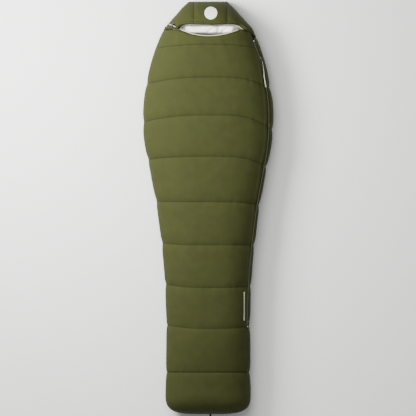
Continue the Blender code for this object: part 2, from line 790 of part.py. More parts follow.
def tail_arc():
    """(centre, radius, heading) of the arc that the drawcord's tail follows down the hood's side.

    The arc lies in an upright plane. It passes over three points of the hood's surface, and stands
    off them by the height that the cord lock needs.
    """
    exit_point = np.array(surface_at(*CORD_EXIT, 0.0))
    middle = np.array(surface_at(*TAIL_MIDDLE, 0.0))
    edge = np.array(section_point(180.0, TAIL_EDGE_Y, 0.0))
    heading = (edge - exit_point) * (1, 1, 0)
    heading /= np.linalg.norm(heading)
    flat = [np.array(((p - exit_point) @ heading, p[2])) for p in (exit_point, middle, edge)]
    rows = np.array([2 * (flat[1] - flat[0]), 2 * (flat[2] - flat[0])])
    squares = np.array([flat[1] @ flat[1] - flat[0] @ flat[0], flat[2] @ flat[2] - flat[0] @ flat[0]])
    middle_out, middle_up = np.linalg.solve(rows, squares)
    radius = math.hypot(flat[0][0] - middle_out, flat[0][1] - middle_up) + LOCK_CLEARANCE
    centre = exit_point * (1, 1, 0) + heading * middle_out + np.array((0, 0, middle_up))
    return centre, radius, heading


def on_tail_arc(degrees):
    """A point of the tail's arc: 90 degrees is its top, 0 the outermost point."""
    centre, radius, heading = tail_arc()
    angle = math.radians(degrees)
    return centre + radius * (math.cos(angle) * heading + math.sin(angle) * np.array((0, 0, 1)))


def make_tail_cord(finish):
    """The drawcord's free tail: out of the eyelet, over the side and under the hood's edge."""
    start = np.array(surface_at(*CORD_EXIT, 0.0))
    centre, radius, _ = tail_arc()
    outwards = (start - centre) / np.linalg.norm(start - centre)
    low, high = TAIL_ARC_DEG
    route = [tuple(start + outwards * 0.0030)]
    route += [tuple(on_tail_arc(high + (low - high) * i / 8)) for i in range(9)]
    points = smooth_route(route + list(TAIL_END_POINTS), 60)
    tube("drawcord_tail", points, CORD_RADIUS, 2, finish)
    end = np.array(points[-1])
    ahead = end - np.array(points[-2])
    ahead /= np.linalg.norm(ahead)
    centre = end + ahead * KNOT_AHEAD
    shape = bmesh.new()
    bmesh.ops.create_icosphere(shape, subdivisions=2, radius=KNOT_RADIUS)
    mesh = bpy.data.meshes.new("drawcord_knot")
    shape.to_mesh(mesh)
    shape.free()
    mesh.transform(Matrix.Diagonal((1.0, 1.0, KNOT_FLATNESS, 1.0)))
    knot = place(bpy.data.objects.new("drawcord_knot", mesh), finish)
    knot.location = (centre[0], centre[1], KNOT_Z)


def cylinder(name, radius, low, high, finish, parent, along_y=False, segments=16):
    """A cylinder on the parent's z axis, or on its y axis."""
    shape = bmesh.new()
    bmesh.ops.create_cone(
        shape,
        cap_ends=True,
        segments=segments,
        radius1=radius,
        radius2=radius,
        depth=high - low,
        matrix=Matrix.Translation((0, 0, (low + high) / 2)),
    )
    mesh = bpy.data.meshes.new(name)
    shape.to_mesh(mesh)
    shape.free()
    if along_y:
        mesh.transform(Matrix.Rotation(math.radians(90), 4, "X"))
    mesh.shade_smooth()
    mesh.set_sharp_from_angle(angle=math.radians(40))
    return place(bpy.data.objects.new(name, mesh), finish, parent)


def make_cord_lock(plastic, spring_finish):
    """Barrel, plunger and spring on the tail: x points off the hood, y along the cord."""
    centre, _, heading = tail_arc()
    at = on_tail_arc(LOCK_DEG)
    out = (at - centre) / np.linalg.norm(at - centre)
    across = np.cross(heading, (0, 0, 1))
    along = np.cross(across, out)
    seat = bpy.data.objects.new("cord_lock_seat", None)
    seat.matrix_world = Matrix(
        [[out[k], along[k], across[k], at[k]] for k in range(3)] + [[0, 0, 0, 1]]
    )
    bpy.context.scene.collection.objects.link(seat)
    half, height, wide = LOCK_HALF_LENGTH, LOCK_HALF_HEIGHT, LOCK_HALF_WIDTH
    corners = (-height, -wide, -half), (height, wide, half)
    barrel = box_object("cord_lock_barrel", *corners, plastic, seat)
    bevel = barrel.modifiers.new("rounded", "BEVEL")
    bevel.width = LOCK_ROUNDING
    bevel.segments = 2
    past = 2 * wide
    bore = cylinder("lock_bore", LOCK_BORE_RADIUS, LOCK_BORE_END, past, plastic, seat)
    hole = cylinder("lock_cord_hole", LOCK_HOLE_RADIUS, -past, past, plastic, seat, along_y=True)
    boolean(barrel, cutter(bore), "DIFFERENCE")
    boolean(barrel, cutter(hole), "DIFFERENCE")
    top = half + PLUNGER_STANDS_OUT
    plunger = cylinder("cord_lock_plunger", PLUNGER_RADIUS, PLUNGER_LOW, top, plastic, seat)
    slot_half, slot_top = LOCK_HOLE_RADIUS, LOCK_HOLE_RADIUS + PLUNGER_TRAVEL
    corners = (-slot_half, -past, -slot_half), (slot_half, past, slot_top)
    slot = box_object("plunger_slot", *corners, plastic, seat)
    boolean(plunger, cutter(slot), "DIFFERENCE")
    height = LOCK_BORE_END + 2 * SPRING_WIRE_RADIUS
    turn = np.linspace(0, 2 * math.pi, 16, endpoint=False)
    ring = [(SPRING_RADIUS * math.cos(a), SPRING_RADIUS * math.sin(a), height) for a in turn]
    spring = tube("cord_lock_spring", ring, SPRING_WIRE_RADIUS, 2, spring_finish, seat)
    spring.data.splines[0].use_cyclic_u = True


def make_eyelet(finish):
    """The moulded eyelet where the drawcord leaves the hood."""
    point = np.array(surface_at(*CORD_EXIT, -0.0007))
    centre, _, _ = tail_arc()
    outwards = point - centre
    outwards /= np.linalg.norm(outwards)
    shape = bmesh.new()
    rings = []
    turn = np.linspace(0, 2 * math.pi, EYELET_SIDES, endpoint=False)
    for radius, height in EYELET_RINGS:
        ring = [(radius * math.cos(a), radius * math.sin(a), height) for a in turn]
        rings.append([shape.verts.new(point) for point in ring])
    for ring, after in zip(rings, rings[1:] + rings[:1]):
        for i in range(EYELET_SIDES):
            j = (i + 1) % EYELET_SIDES
            shape.faces.new((ring[i], ring[j], after[j], after[i]))
    bmesh.ops.recalc_face_normals(shape, faces=shape.faces)
    mesh = bpy.data.meshes.new("cord_eyelet")
    shape.to_mesh(mesh)
    shape.free()
    eyelet = place(bpy.data.objects.new("cord_eyelet", mesh), finish)
    turn = Vector((0, 0, 1)).rotation_difference(Vector(outwards)).to_matrix().to_4x4()
    eyelet.matrix_world = Matrix.Translation(Vector(point)) @ turn


def make_hang_loop(finish):
    """A loop of webbing sewn to the foot's end, to hang the bag up by."""
    middle_y, middle_z = FOOT_END_Y - 0.0004, SIDE_Z + 0.02
    angles = np.linspace(math.radians(90), math.radians(270), 13)
    outer = [(middle_y + LOOP_REACH * math.cos(a), middle_z + LOOP_REACH * math.sin(a)) for a in angles]
    inside = LOOP_REACH - LOOP_THICKNESS
    inner = [(middle_y + inside * math.cos(a), middle_z + inside * math.sin(a)) for a in angles]
    outline = outer + inner[::-1]
    points = [
        (LOOP_X + side * LOOP_HALF_WIDTH, y, z) for side in (-1, 1) for y, z in outline
    ]
    count = len(outer)
    sides = len(outline)
    faces = []
    for i in range(count - 1):
        j, k, m = i + 1, sides - 2 - i, sides - 1 - i
        faces.append((i, j, k, m))
        faces.append((sides + i, sides + m, sides + k, sides + j))
    for i in range(sides):
        j = (i + 1) % sides
        faces.append((i, sides + i, sides + j, j))
    mesh_object("foot_hang_loop", points, faces, finish)


def make_side_strip(finish):
    """A plain pale woven strip on the lower leg, beside the zip."""
    rows = []
    for depth in (-0.0012, -0.0006):
        rows.append([
            [surface_at(x, s, depth) for x in (0.185, 0.1915, 0.198)]
            for s in np.linspace(-0.605, -0.445, 5)
        ])
    thick_surface("side_strip", rows[0], rows[1], finish)


def make_hood_mark(finish):
    """A plain round mark on the hood's centre panel."""
    x0, y0, radius = HOOD_MARK
    grids = []
    for depth in (-0.0014, -0.0008):
        grid = []
        for share in (0.0, 0.5, 1.0):
            ring = []
            for a in np.linspace(0, 2 * math.pi, 20, endpoint=False):
                x = x0 + radius * share * math.cos(a)
                ring.append(surface_at(x, y0 + radius * share * math.sin(a), depth))
            grid.append(ring)
        grids.append(grid)
    thick_surface("hood_mark", grids[0], grids[1], finish, wrap=True)


def main():
    clear_scene()
    shell = material("olive_polyester_shell", OLIVE, 0.75)
    fill = material("polyester_wadding", WADDING, 0.95)
    lining = material("pale_polyester_lining", LINING, 0.70)
    black = material("black_moulded_plastic", BLACK, 0.45)
    tape = material("dark_olive_zip_tape", OLIVE_DARK, 0.85)
    pale = material("pale_woven_cord", PALE, 0.85)
    steel = material("spring_steel", STEEL, 0.35, 1.0)
    make_quilted_layers(shell, fill, lining)
    make_hood_front(shell, fill, lining)
    make_zip(tape, black, steel)
    make_draft_tube(lining)
    main_pivot = make_slider("main_slider", MAIN_SLIDER_Y, 1, black, black)
    make_slider("lower_slider", LOWER_SLIDER_Y, -1, black, black)
    make_pull_strap(pale, main_pivot)
    make_zip_tab(black, black)
    make_rim_cord(pale)
    make_tail_cord(pale)
    make_eyelet(black)
    make_cord_lock(black, steel)
    make_hang_loop(black)
    make_side_strip(pale)
    make_hood_mark(pale)


if __name__ == "__main__":
    main()
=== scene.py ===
"""The looks of a mummy sleeping bag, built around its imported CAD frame.

The bag lies on its back: +Y runs to the head, +X to the zip side. Each quilted part is a grid of
points on the bag's own surface, puffed between its seams, over a separate lining.
"""

import logging
import math
from dataclasses import dataclass
from enum import Enum

import bmesh
import bpy
import numpy as np
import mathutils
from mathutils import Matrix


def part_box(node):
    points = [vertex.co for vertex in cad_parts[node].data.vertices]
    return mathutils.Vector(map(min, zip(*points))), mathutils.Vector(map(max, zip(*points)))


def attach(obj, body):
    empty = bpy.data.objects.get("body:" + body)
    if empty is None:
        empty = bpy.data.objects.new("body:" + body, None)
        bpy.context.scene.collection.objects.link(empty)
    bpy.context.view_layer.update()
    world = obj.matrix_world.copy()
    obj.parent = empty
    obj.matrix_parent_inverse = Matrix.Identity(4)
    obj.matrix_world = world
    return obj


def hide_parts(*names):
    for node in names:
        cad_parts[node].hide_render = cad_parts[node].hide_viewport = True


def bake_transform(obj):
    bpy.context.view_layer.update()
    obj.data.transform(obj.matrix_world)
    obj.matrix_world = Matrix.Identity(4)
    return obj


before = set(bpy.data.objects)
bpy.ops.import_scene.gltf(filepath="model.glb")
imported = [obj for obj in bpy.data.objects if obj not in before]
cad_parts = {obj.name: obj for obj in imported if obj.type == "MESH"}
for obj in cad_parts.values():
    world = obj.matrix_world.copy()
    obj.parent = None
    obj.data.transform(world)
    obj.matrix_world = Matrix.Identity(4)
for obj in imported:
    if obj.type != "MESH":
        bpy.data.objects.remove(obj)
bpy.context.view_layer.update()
LOG = logging.getLogger("sleeping_bag")
Grid = np.ndarray
Obj = bpy.types.Object
Tree = bpy.types.NodeTree
Vector = tuple[float, float, float]


class Body(Enum):
    """The CAD bodies that pieces ride on."""

    ROOT = "root"
    FLAP = "flap"
    GARAGE_TAB = "garage_tab"
    MAIN_PULL = "main_pull"


# ------------------------------------------------------------------------------ shape


def smooth(low: float, high: float, value: Grid) -> Grid:
    """Return 0 below low, 1 above high, and 3t^2 - 2t^3 of the way t between them."""
    share = np.clip((value - low) / (high - low), 0.0, 1.0)
    return share * share * (3 - 2 * share)


def superellipse(share: Grid, power: float) -> Grid:
    """Return (1 - |share|^power)^(1/power), the other half axis's share."""
    return (1 - np.minimum(1.0, np.abs(share)) ** power) ** (1 / power)


def soft_noise(x: Grid, y: Grid, seed: int) -> Grid:
    """Return smooth value noise from -1 to 1 with a period of one unit.

    Each whole-numbered corner has the fractional part of a large sine as its value, and the
    values are joined with 3t^2 - 2t^3 weights.
    """
    x0, y0 = np.floor(x), np.floor(y)
    fx, fy = x - x0, y - y0
    fx, fy = fx * fx * (3 - 2 * fx), fy * fy * (3 - 2 * fy)

    def corner(i: Grid, j: Grid) -> Grid:
        value = np.sin(i * 127.1 + j * 311.7 + seed * 74.7) * 43758.5453
        return 2 * (value - np.floor(value)) - 1

    low = corner(x0, y0) * (1 - fx) + corner(x0 + 1, y0) * fx
    high = corner(x0, y0 + 1) * (1 - fx) + corner(x0 + 1, y0 + 1) * fx
    return low * (1 - fy) + high * fy


@dataclass(frozen=True)
class BagShape:
    """The bag's outer surface as a formula, the same one as the CAD frame's, in metres."""

    foot_end: float = -1.10
    hood_end: float = 1.10
    crown: float = 0.265
    side: float = 0.09
    hood_edge: float = 0.05
    foot_round: float = -0.98
    hood_round: float = 0.93
    hood_corner: float = 0.955
    hood_end_half: float = 0.104
    zip_z: float = 0.168
    zip_top: float = 0.885
    zip_end: float = -0.630
    seam_gap: float = 0.0012
    roundness: float = 2.5
    shoulder_x: float = -0.827
    shoulder_y: float = 0.46
    shoulder_radius: float = 1.153
    leg_x: float = 4.370
    leg_y: float = -0.65
    leg_radius: float = 4.160
    taper: float = 0.2

    def side_line(self, y: Grid) -> Grid:
        """Return the zip's distance from the middle: an arc, a straight run, an arc, a line."""
        y = np.asarray(y, float)
        slope = math.atan(self.taper)
        arc_end = self.shoulder_y - self.shoulder_radius * math.sin(slope)
        arc_x = self.shoulder_x + self.shoulder_radius * math.cos(slope)
        leg_start = self.leg_y + self.leg_radius * math.sin(slope)
        rise = np.maximum(self.shoulder_radius**2 - (y - self.shoulder_y) ** 2, 0)
        shoulder = self.shoulder_x + np.sqrt(rise)
        leg = self.leg_x - np.sqrt(np.maximum(self.leg_radius**2 - (y - self.leg_y) ** 2, 0))
        straight = arc_x - self.taper * (arc_end - y)
        where = [y > arc_end, y > leg_start, y > self.leg_y]
        return np.select(where, [shoulder, straight, leg], self.leg_x - self.leg_radius)

    def half_width(self, y: Grid) -> Grid:
        """Return half of the width from above: the side line plus the quilts' bulge."""
        y = np.asarray(y, float)
        bulge = 0.011 + 0.009 * smooth(0.15, 0.45, y) + 0.0025 * smooth(0.60, 0.80, -y)
        corner = self.side_line(self.hood_corner) + 0.020
        share = (y - self.hood_corner) / (self.hood_end - self.hood_corner)
        hood = corner + (self.hood_end_half - corner) * share
        return np.where(y > self.hood_corner, hood, self.side_line(y) + bulge)

    def station(self, s: Grid, depth: Grid) -> tuple[Grid, Grid, Grid, Grid, Grid]:
        """Return (y, half width, top, bottom, side height) of the section at s and this depth."""
        s = np.asarray(s, float)
        depth = np.asarray(depth, float)
        top = self.crown - 0.025 * smooth(0.65, 1.0, -s)
        wide = self.half_width(s)
        head = np.clip((s - self.hood_round) / (self.hood_end - self.hood_round), 0, 1)
        head_side = self.side - (self.side - self.hood_edge) * head**2
        edge = self.hood_edge
        high = edge + (top - edge - depth) * superellipse(head, 2.2)
        low = edge - (edge - depth) * superellipse(head, 6)
        head_y = self.hood_round + head * (self.hood_end - self.hood_round - depth)
        foot = np.clip((self.foot_round - s) / (self.foot_round - self.foot_end), 0, 1)
        foot_side = self.side + 0.02 * foot
        tall = superellipse(foot, 2.6)
        foot_y = self.foot_round - foot * (self.foot_round - self.foot_end - depth)
        at_head, at_foot = s > self.hood_round, s < self.foot_round
        pick = [at_head, at_foot]
        y = np.select(pick, [head_y, foot_y], s)
        width = np.select(pick, [wide - depth, (wide - depth) * superellipse(foot, 4)], wide - depth)
        upper = foot_side + (top - foot_side - depth) * tall
        lower = foot_side - (foot_side - depth) * tall
        above = np.select(pick, [np.maximum(high, head_side), upper], top - depth)
        below = np.select(pick, [np.minimum(low, head_side), lower], depth + 0 * s)
        middle = np.select(pick, [head_side, foot_side], self.side + 0 * s)
        return y, width, above, below, middle

    def zip_shift(self, s: Grid) -> Grid:
        """Return how far the section moves out at the zip, so that its edge is on the side line."""
        _, wide, top, _, side = self.station(s, 0.0)
        rise = np.clip((self.zip_z - side) / np.maximum(top - side, 1e-6), 0, 1)
        shift = self.side_line(s) - wide * superellipse(rise, self.roundness)
        inside = (s > -0.75) & (s < self.hood_round)
        return np.where(inside, shift * smooth(-0.75, -0.65, s) * (1 - smooth(0.90, 0.93, s)), 0.0)

    def point(self, angle: Grid, s: Grid, depth: Grid = 0.0) -> Grid:
        """Return points of the surface. The angle, in degrees, runs from +X over the crown."""
        angle, s = np.broadcast_arrays(np.asarray(angle, float), np.asarray(s, float))
        y, wide, top, bottom, side = self.station(s, depth)
        cosine, sine = np.cos(np.radians(angle)), np.sin(np.radians(angle))
        power = 2 / self.roundness
        x = wide * np.sign(cosine) * np.abs(cosine) ** power
        rise = np.abs(sine) ** power
        flat = math.sin(math.radians(70.0)) ** power
        under = side - (side - bottom) * np.minimum(1.0, rise / flat)
        z = np.where(sine >= 0, side + (top - side) * rise, under)
        near = np.exp(-(((z - self.zip_z) / 0.03) ** 2))
        x = np.where(x > 0, x + self.zip_shift(s) * near, x)
        return np.stack([x, y + 0 * x, z], axis=-1)

    def angle_at_height(self, height: Grid, s: Grid, depth: Grid) -> Grid:
        """Return the angle at which the zip side's upper quarter reaches this height."""
        _, _, top, _, side = self.station(s, depth)
        rise = np.clip((height - side) / (top - side), 0, 1)
        return np.degrees(np.arcsin(rise ** (self.roundness / 2)))

    def zip_edge(self, s: Grid) -> Grid:
        """Return half of the gap between front and back at the zip, or a seam's below it."""
        low = self.seam_gap / 2
        return low + (0.010 - low) * smooth(self.zip_end - 0.029, self.zip_end - 0.007, s)

    def front_angle(self, share: Grid, s: Grid, depth: Grid = 0.0) -> Grid:
        """Return the front's angle: share 0 at the zip, 0.5 at the crown, 1 at the left seam."""
        right = self.angle_at_height(self.zip_z + self.zip_edge(s), s, depth)
        _, _, top, _, side = self.station(s, depth)
        left = np.degrees(np.arcsin((self.seam_gap / 2 / (top - side)) ** (self.roundness / 2)))
        low = np.where(share <= 0.5, right, left)
        away = np.abs(share - 0.5) * 2
        return 90 + np.sign(share - 0.5) * (90 - low) * away

    def back_angle(self, share: Grid, s: Grid, depth: Grid = 0.0) -> Grid:
        """Return the back's angle: share 0 at the left seam, 1 at the zip."""
        high = 360 + self.angle_at_height(self.zip_z - self.zip_edge(s), s, depth)
        return 181 + (high - 181) * share

    def across(self, angle: Grid) -> Grid:
        """Return the distance from the middle as a share of the half width."""
        return np.abs(np.cos(np.radians(angle))) ** (2 / self.roundness)

    def rim(self, angle: Grid) -> Grid:
        """Return y of the front's upper edge: low in the middle, a tip at each side."""
        c = self.across(angle)
        left = np.asarray(angle) > 90
        tip = np.where(left, 0.66, 0.78)
        fall = np.where(left, 0.0, 0.046 * (np.clip((c - tip) / (1 - tip), 0, 1)) ** 2)
        return np.where(c < tip, 0.912 + 0.036 * (c / tip) ** 2, 0.948 - fall)

    def hood_rim(self, angle: Grid) -> Grid:
        """Return y of the hood's lower edge, which leaves the face open."""
        tip = np.where(np.asarray(angle) > 90, 0.70, 0.84)
        face = np.sqrt(np.maximum(0.0, 1 - (self.across(angle) / tip) ** 2))
        return self.rim(angle) + 0.004 + 0.059 * face

    def top_at(self, x: float, s: float, depth: float = 0.0) -> np.ndarray:
        """Return the point of the upper surface at this x."""
        share = abs(x) / float(self.half_width(s))
        angle = math.degrees(math.acos(share ** (self.roundness / 2)))
        return self.point(angle if x > 0 else 180 - angle, s, depth)


SHAPE = BagShape()
UP = np.array([0.0, 0.0, 1.0])
FOOT_BOX_SEAM = -0.875
BODY_SEAM = -0.8735
FOOT_END = (-1.02, -1.0995)
QUILT_DEPTH = 0.0295
LINING_DEPTH = 0.0306
NECK_SEAM = 0.902


def outward(points: Grid, wrap: bool = False) -> Grid:
    """Return unit normals of a grid: the cross product of its two directions, facing outwards."""
    if wrap:
        du = np.roll(points, -1, axis=1) - np.roll(points, 1, axis=1)
    else:
        du = np.gradient(points, axis=1)
    dv = np.gradient(points, axis=0)
    normal = np.cross(du, dv)
    length = np.linalg.norm(normal, axis=-1, keepdims=True)
    normal = np.where(length > 1e-12, normal / np.maximum(length, 1e-12), [0.0, 0.0, 0.0])
    centre = points * [0, 1, 0] + [0, 0, SHAPE.side]
    return normal if np.sum(normal * (points - centre)) > 0 else -normal


# ------------------------------------------------------------------------------ meshes


def mesh_object(name: str, points: Grid, quads: Grid, uv: Grid | None = None) -> Obj:
    """Build a mesh object from quads, weld its doubled points and turn its faces outwards.

    Args:
        name: The piece's name.
        points: One row per point.
        quads: One row of four point numbers per face.
        uv: A point attribute of (across, along) in metres, which the materials read.
    """
    mesh = bpy.data.meshes.new(name)
    mesh.from_pydata(points.reshape(-1, 3).tolist(), [], quads.tolist())
    if uv is not None:
        store = mesh.attributes.new("cloth", "FLOAT_VECTOR", "POINT")
        store.data.foreach_set("vector", uv.reshape(-1, 3).astype(np.float32).ravel())
    shape = bmesh.new()
    shape.from_mesh(mesh)
    bmesh.ops.remove_doubles(shape, verts=shape.verts, dist=1e-6)
    bmesh.ops.recalc_face_normals(shape, faces=shape.faces)
    if shape.calc_volume(signed=True) < 0:
        bmesh.ops.reverse_faces(shape, faces=shape.faces)
    shape.to_mesh(mesh)
    shape.free()
    mesh.shade_smooth()
    mesh.set_sharp_from_angle(angle=math.radians(60))
    obj = bpy.data.objects.new(name, mesh)
    bpy.context.scene.collection.objects.link(obj)
    return obj


def grid_quads(rows: int, cols: int, wrap: bool = False) -> Grid:
    """Return the quads of a grid of rows x cols points, joined round when wrap is set."""
    across = np.arange(cols if wrap else cols - 1)
    low = (np.arange(rows - 1)[:, None] * cols + across).ravel()
    step = ((across + 1) % cols - across)[None, :].repeat(rows - 1, 0).ravel()
    return np.stack([low, low + step, low + step + cols, low + cols], axis=-1)


def rim_quads(rows: int, cols: int, wrap: bool) -> Grid:
    """Return the quads that join a grid's open edges to those of a second grid after it."""
    count = rows * cols
    index = np.arange(count).reshape(rows, cols)
    if wrap:
        loops = [np.append(index[0], index[0, 0]), np.append(index[-1], index[-1, 0])[::-1]]
    else:
        ring = [index[0, :-1], index[:-1, -1], index[-1, :0:-1], index[:0:-1, 0]]
        loop = np.concatenate(ring)
        loops = [np.append(loop, loop[0])]
    walls = [np.stack([l[:-1], l[:-1] + count, l[1:] + count, l[1:]], -1) for l in loops]
    return np.concatenate(walls)


def cloth_lengths(points: Grid) -> Grid:
    """Return (across, along, 0) of each grid point: its distance along row and column."""
    across = np.linalg.norm(np.diff(points, axis=1), axis=-1)
    along = np.linalg.norm(np.diff(points, axis=0), axis=-1)
    across = np.concatenate([np.zeros_like(across[:, :1]), np.cumsum(across, axis=1)], axis=1)
    along = np.concatenate([np.zeros_like(along[:1]), np.cumsum(along, axis=0)], axis=0)
    return np.stack([across, along, 0 * along], axis=-1)


def slab(name: str, outer: Grid, inner: Grid, seam: Grid | None = None, wrap: bool = False):
    """Build one closed piece between an outer and an inner grid.

    Args:
        name: The piece's name.
        outer: Grid of the outer face's points.
        inner: Grid of the inner face's points.
        seam: Distance of each point to its nearest seam, in metres, kept in the third value.
        wrap: Whether the last column joins the first.
    """
    rows, cols = outer.shape[:2]
    uv = cloth_lengths(outer)
    uv[..., 2] = 1.0 if seam is None else seam
    under = uv.copy()
    under[..., 2] = 1.0
    top = grid_quads(rows, cols, wrap)
    quads = np.concatenate([top, top[:, ::-1] + rows * cols, rim_quads(rows, cols, wrap)])
    points = np.concatenate([outer.reshape(-1, 3), inner.reshape(-1, 3)])
    return mesh_object(name, points, quads, np.concatenate([uv.reshape(-1, 3), under.reshape(-1, 3)]))


def frames_along(path: Grid) -> tuple[Grid, Grid, Grid]:
    """Return (tangent, side, up) of a path. The side is level where the path allows it."""
    tangent = np.gradient(path, axis=0)
    tangent /= np.linalg.norm(tangent, axis=1, keepdims=True)
    side = np.cross(tangent, [0.0, 0.0, 1.0])
    weak = np.linalg.norm(side, axis=1) < 0.05
    side[weak] = np.cross(tangent[weak], [0.0, 1.0, 0.0])
    side /= np.linalg.norm(side, axis=1, keepdims=True)
    for i in range(1, len(side)):
        if side[i] @ side[i - 1] < 0:
            side[i] = -side[i]
    return tangent, side, np.cross(side, tangent)


def tube(name: str, path: Grid, radius: Grid | float, sides: int = 12) -> Obj:
    """Build a closed tube: a circle of this radius round each point, and a dome at each end."""
    path = np.asarray(path, float)
    tangent, side, up = frames_along(path)
    radius = np.broadcast_to(radius, (len(path),)).astype(float)
    cap = np.array([(1.0, 0.0), (0.75, 0.66), (0.35, 0.94)])
    ahead = np.concatenate([-cap[:, 0] * radius[0], np.zeros(len(path)), cap[::-1, 0] * radius[-1]])
    scale = np.concatenate([(1 - cap[:, 0]), np.ones(len(path)), (1 - cap[::-1, 0])])
    scale[1:3], scale[-3:-1] = cap[1:, 1], cap[:0:-1, 1]
    pick = np.concatenate([[0] * 3, np.arange(len(path)), [len(path) - 1] * 3])
    turn = np.linspace(0, 2 * math.pi, sides, endpoint=False)
    ring = np.cos(turn)[None, :, None] * side[pick][:, None] + np.sin(turn)[None, :, None] * up[pick][:, None]
    centre = path[pick] + tangent[pick] * ahead[:, None]
    points = centre[:, None] + ring * (radius[pick] * scale)[:, None, None]
    run = np.concatenate([[0], np.cumsum(np.linalg.norm(np.diff(centre, axis=0), axis=1))])
    uv = np.stack(np.broadcast_arrays(turn[None, :] * radius[pick][:, None], run[:, None], 1.0), -1)
    return mesh_object(name, points, grid_quads(len(pick), sides, True), uv)


def strap(name: str, path: Grid, across: Grid, thick: Grid, half: float, height: float):
    """Build a flat strap: a rounded rectangle, 2 x half wide and height thick, along a path.

    Args:
        name: The piece's name.
        path: The strap's middle line.
        across: Unit vectors over the strap's width, one per point.
        thick: Unit vectors through the strap.
        half: Half of its width.
        height: Its thickness.
    """
    turn = np.linspace(0, 2 * math.pi, 16, endpoint=False)
    wide = half * np.sign(np.cos(turn)) * np.abs(np.cos(turn)) ** 0.25
    deep = height / 2 * np.sign(np.sin(turn)) * np.abs(np.sin(turn)) ** 0.6
    rings = path[:, None] + across[:, None] * wide[None, :, None] + thick[:, None] * deep[None, :, None]
    rings = np.concatenate([path[:1, None].repeat(16, 1), rings, path[-1:, None].repeat(16, 1)])
    run = np.concatenate([[0], np.cumsum(np.linalg.norm(np.diff(path, axis=0), axis=1))])
    run = np.concatenate([run[:1], run, run[-1:]])
    uv = np.stack(np.broadcast_arrays(wide[None, :] + half, run[:, None], 1.0), -1)
    return mesh_object(name, rings, grid_quads(len(rings), 16, True), uv)


# ------------------------------------------------------------------------------ materials


def colour(text: str) -> tuple[float, float, float, float]:
    """Return the linear colour of an sRGB hex string."""
    parts = [int(text[i : i + 2], 16) / 255 for i in (1, 3, 5)]
    linear = [p / 12.92 if p <= 0.04045 else ((p + 0.055) / 1.055) ** 2.4 for p in parts]
    return (*linear, 1.0)


def add(tree: Tree, kind: str, settings: dict | None = None, **links) -> bpy.types.Node:
    """Add a node, set its properties and link or set its inputs.

    Args:
        tree: The node tree.
        kind: The node's type without its prefix.
        settings: Properties of the node.
        links: Input name, or n and a number, to a socket or a value.
    """
    node = tree.nodes.new("ShaderNode" + kind)
    for key, value in (settings or {}).items():
        setattr(node, key, value)
    for key, value in links.items():
        number = key[1:]
        by_number = key[0] == "n" and number.isdigit()
        socket = node.inputs[int(number) if by_number else key.replace("_", " ")]
        if isinstance(value, bpy.types.NodeSocket):
            tree.links.new(value, socket)
        else:
            socket.default_value = value
    return node


def maths(tree: Tree, operation: str, *values) -> bpy.types.NodeSocket:
    """Return the output of a Math node on these sockets or numbers."""
    links = {f"n{i}": value for i, value in enumerate(values)}
    return add(tree, "Math", {"operation": operation}, **links).outputs[0]


@dataclass(frozen=True)
class Finish:
    """A material with a Principled shader, and a slot name. Subclasses add their pattern."""

    name: str
    base: str
    roughness: float = 0.7
    slot: str = ""
    metallic: float = 0.0
    ior: float = 1.5
    specular: float = 0.5

    def build(self) -> bpy.types.Material:
        """Return the material, made once and then reused."""
        known = bpy.data.materials.get(self.name)
        if known:
            return known
        made = bpy.data.materials.new(self.name)
        made.use_nodes = True
        tree = made.node_tree
        shader = tree.nodes["Principled BSDF"]
        shader.inputs["Metallic"].default_value = self.metallic
        shader.inputs["Roughness"].default_value = self.roughness
        shader.inputs["IOR"].default_value = self.ior
        shader.inputs["Specular IOR Level"].default_value = self.specular
        self.pattern(tree, shader)
        return made

    def pattern(self, tree: Tree, shader: bpy.types.Node) -> None:
        """Link colour, roughness and bump: here a fine mottling, 6 mm and 0.5 mm across."""
        place = add(tree, "TexCoord").outputs["Object"]
        large = add(tree, "TexNoise", Vector=place, Scale=160.0, Detail=3.0).outputs[0]
        fine = add(tree, "TexNoise", Vector=place, Scale=2000.0, Detail=2.0).outputs[0]
        tint = add(tree, "MapRange", n0=large, n3=0.82, n4=1.15).outputs[0]
        mixed = add(tree, "VectorMath", {"operation": "SCALE"}, n0=colour(self.base)[:3], n3=tint)
        rough = add(tree, "MapRange", n0=large, n3=self.roughness - 0.08, n4=self.roughness + 0.08)
        bump = add(tree, "Bump", Strength=0.25, Distance=0.0001, Height=fine)
        tree.links.new(mixed.outputs[0], shader.inputs["Base Color"])
        tree.links.new(rough.outputs[0], shader.inputs["Roughness"])
        tree.links.new(bump.outputs[0], shader.inputs["Normal"])


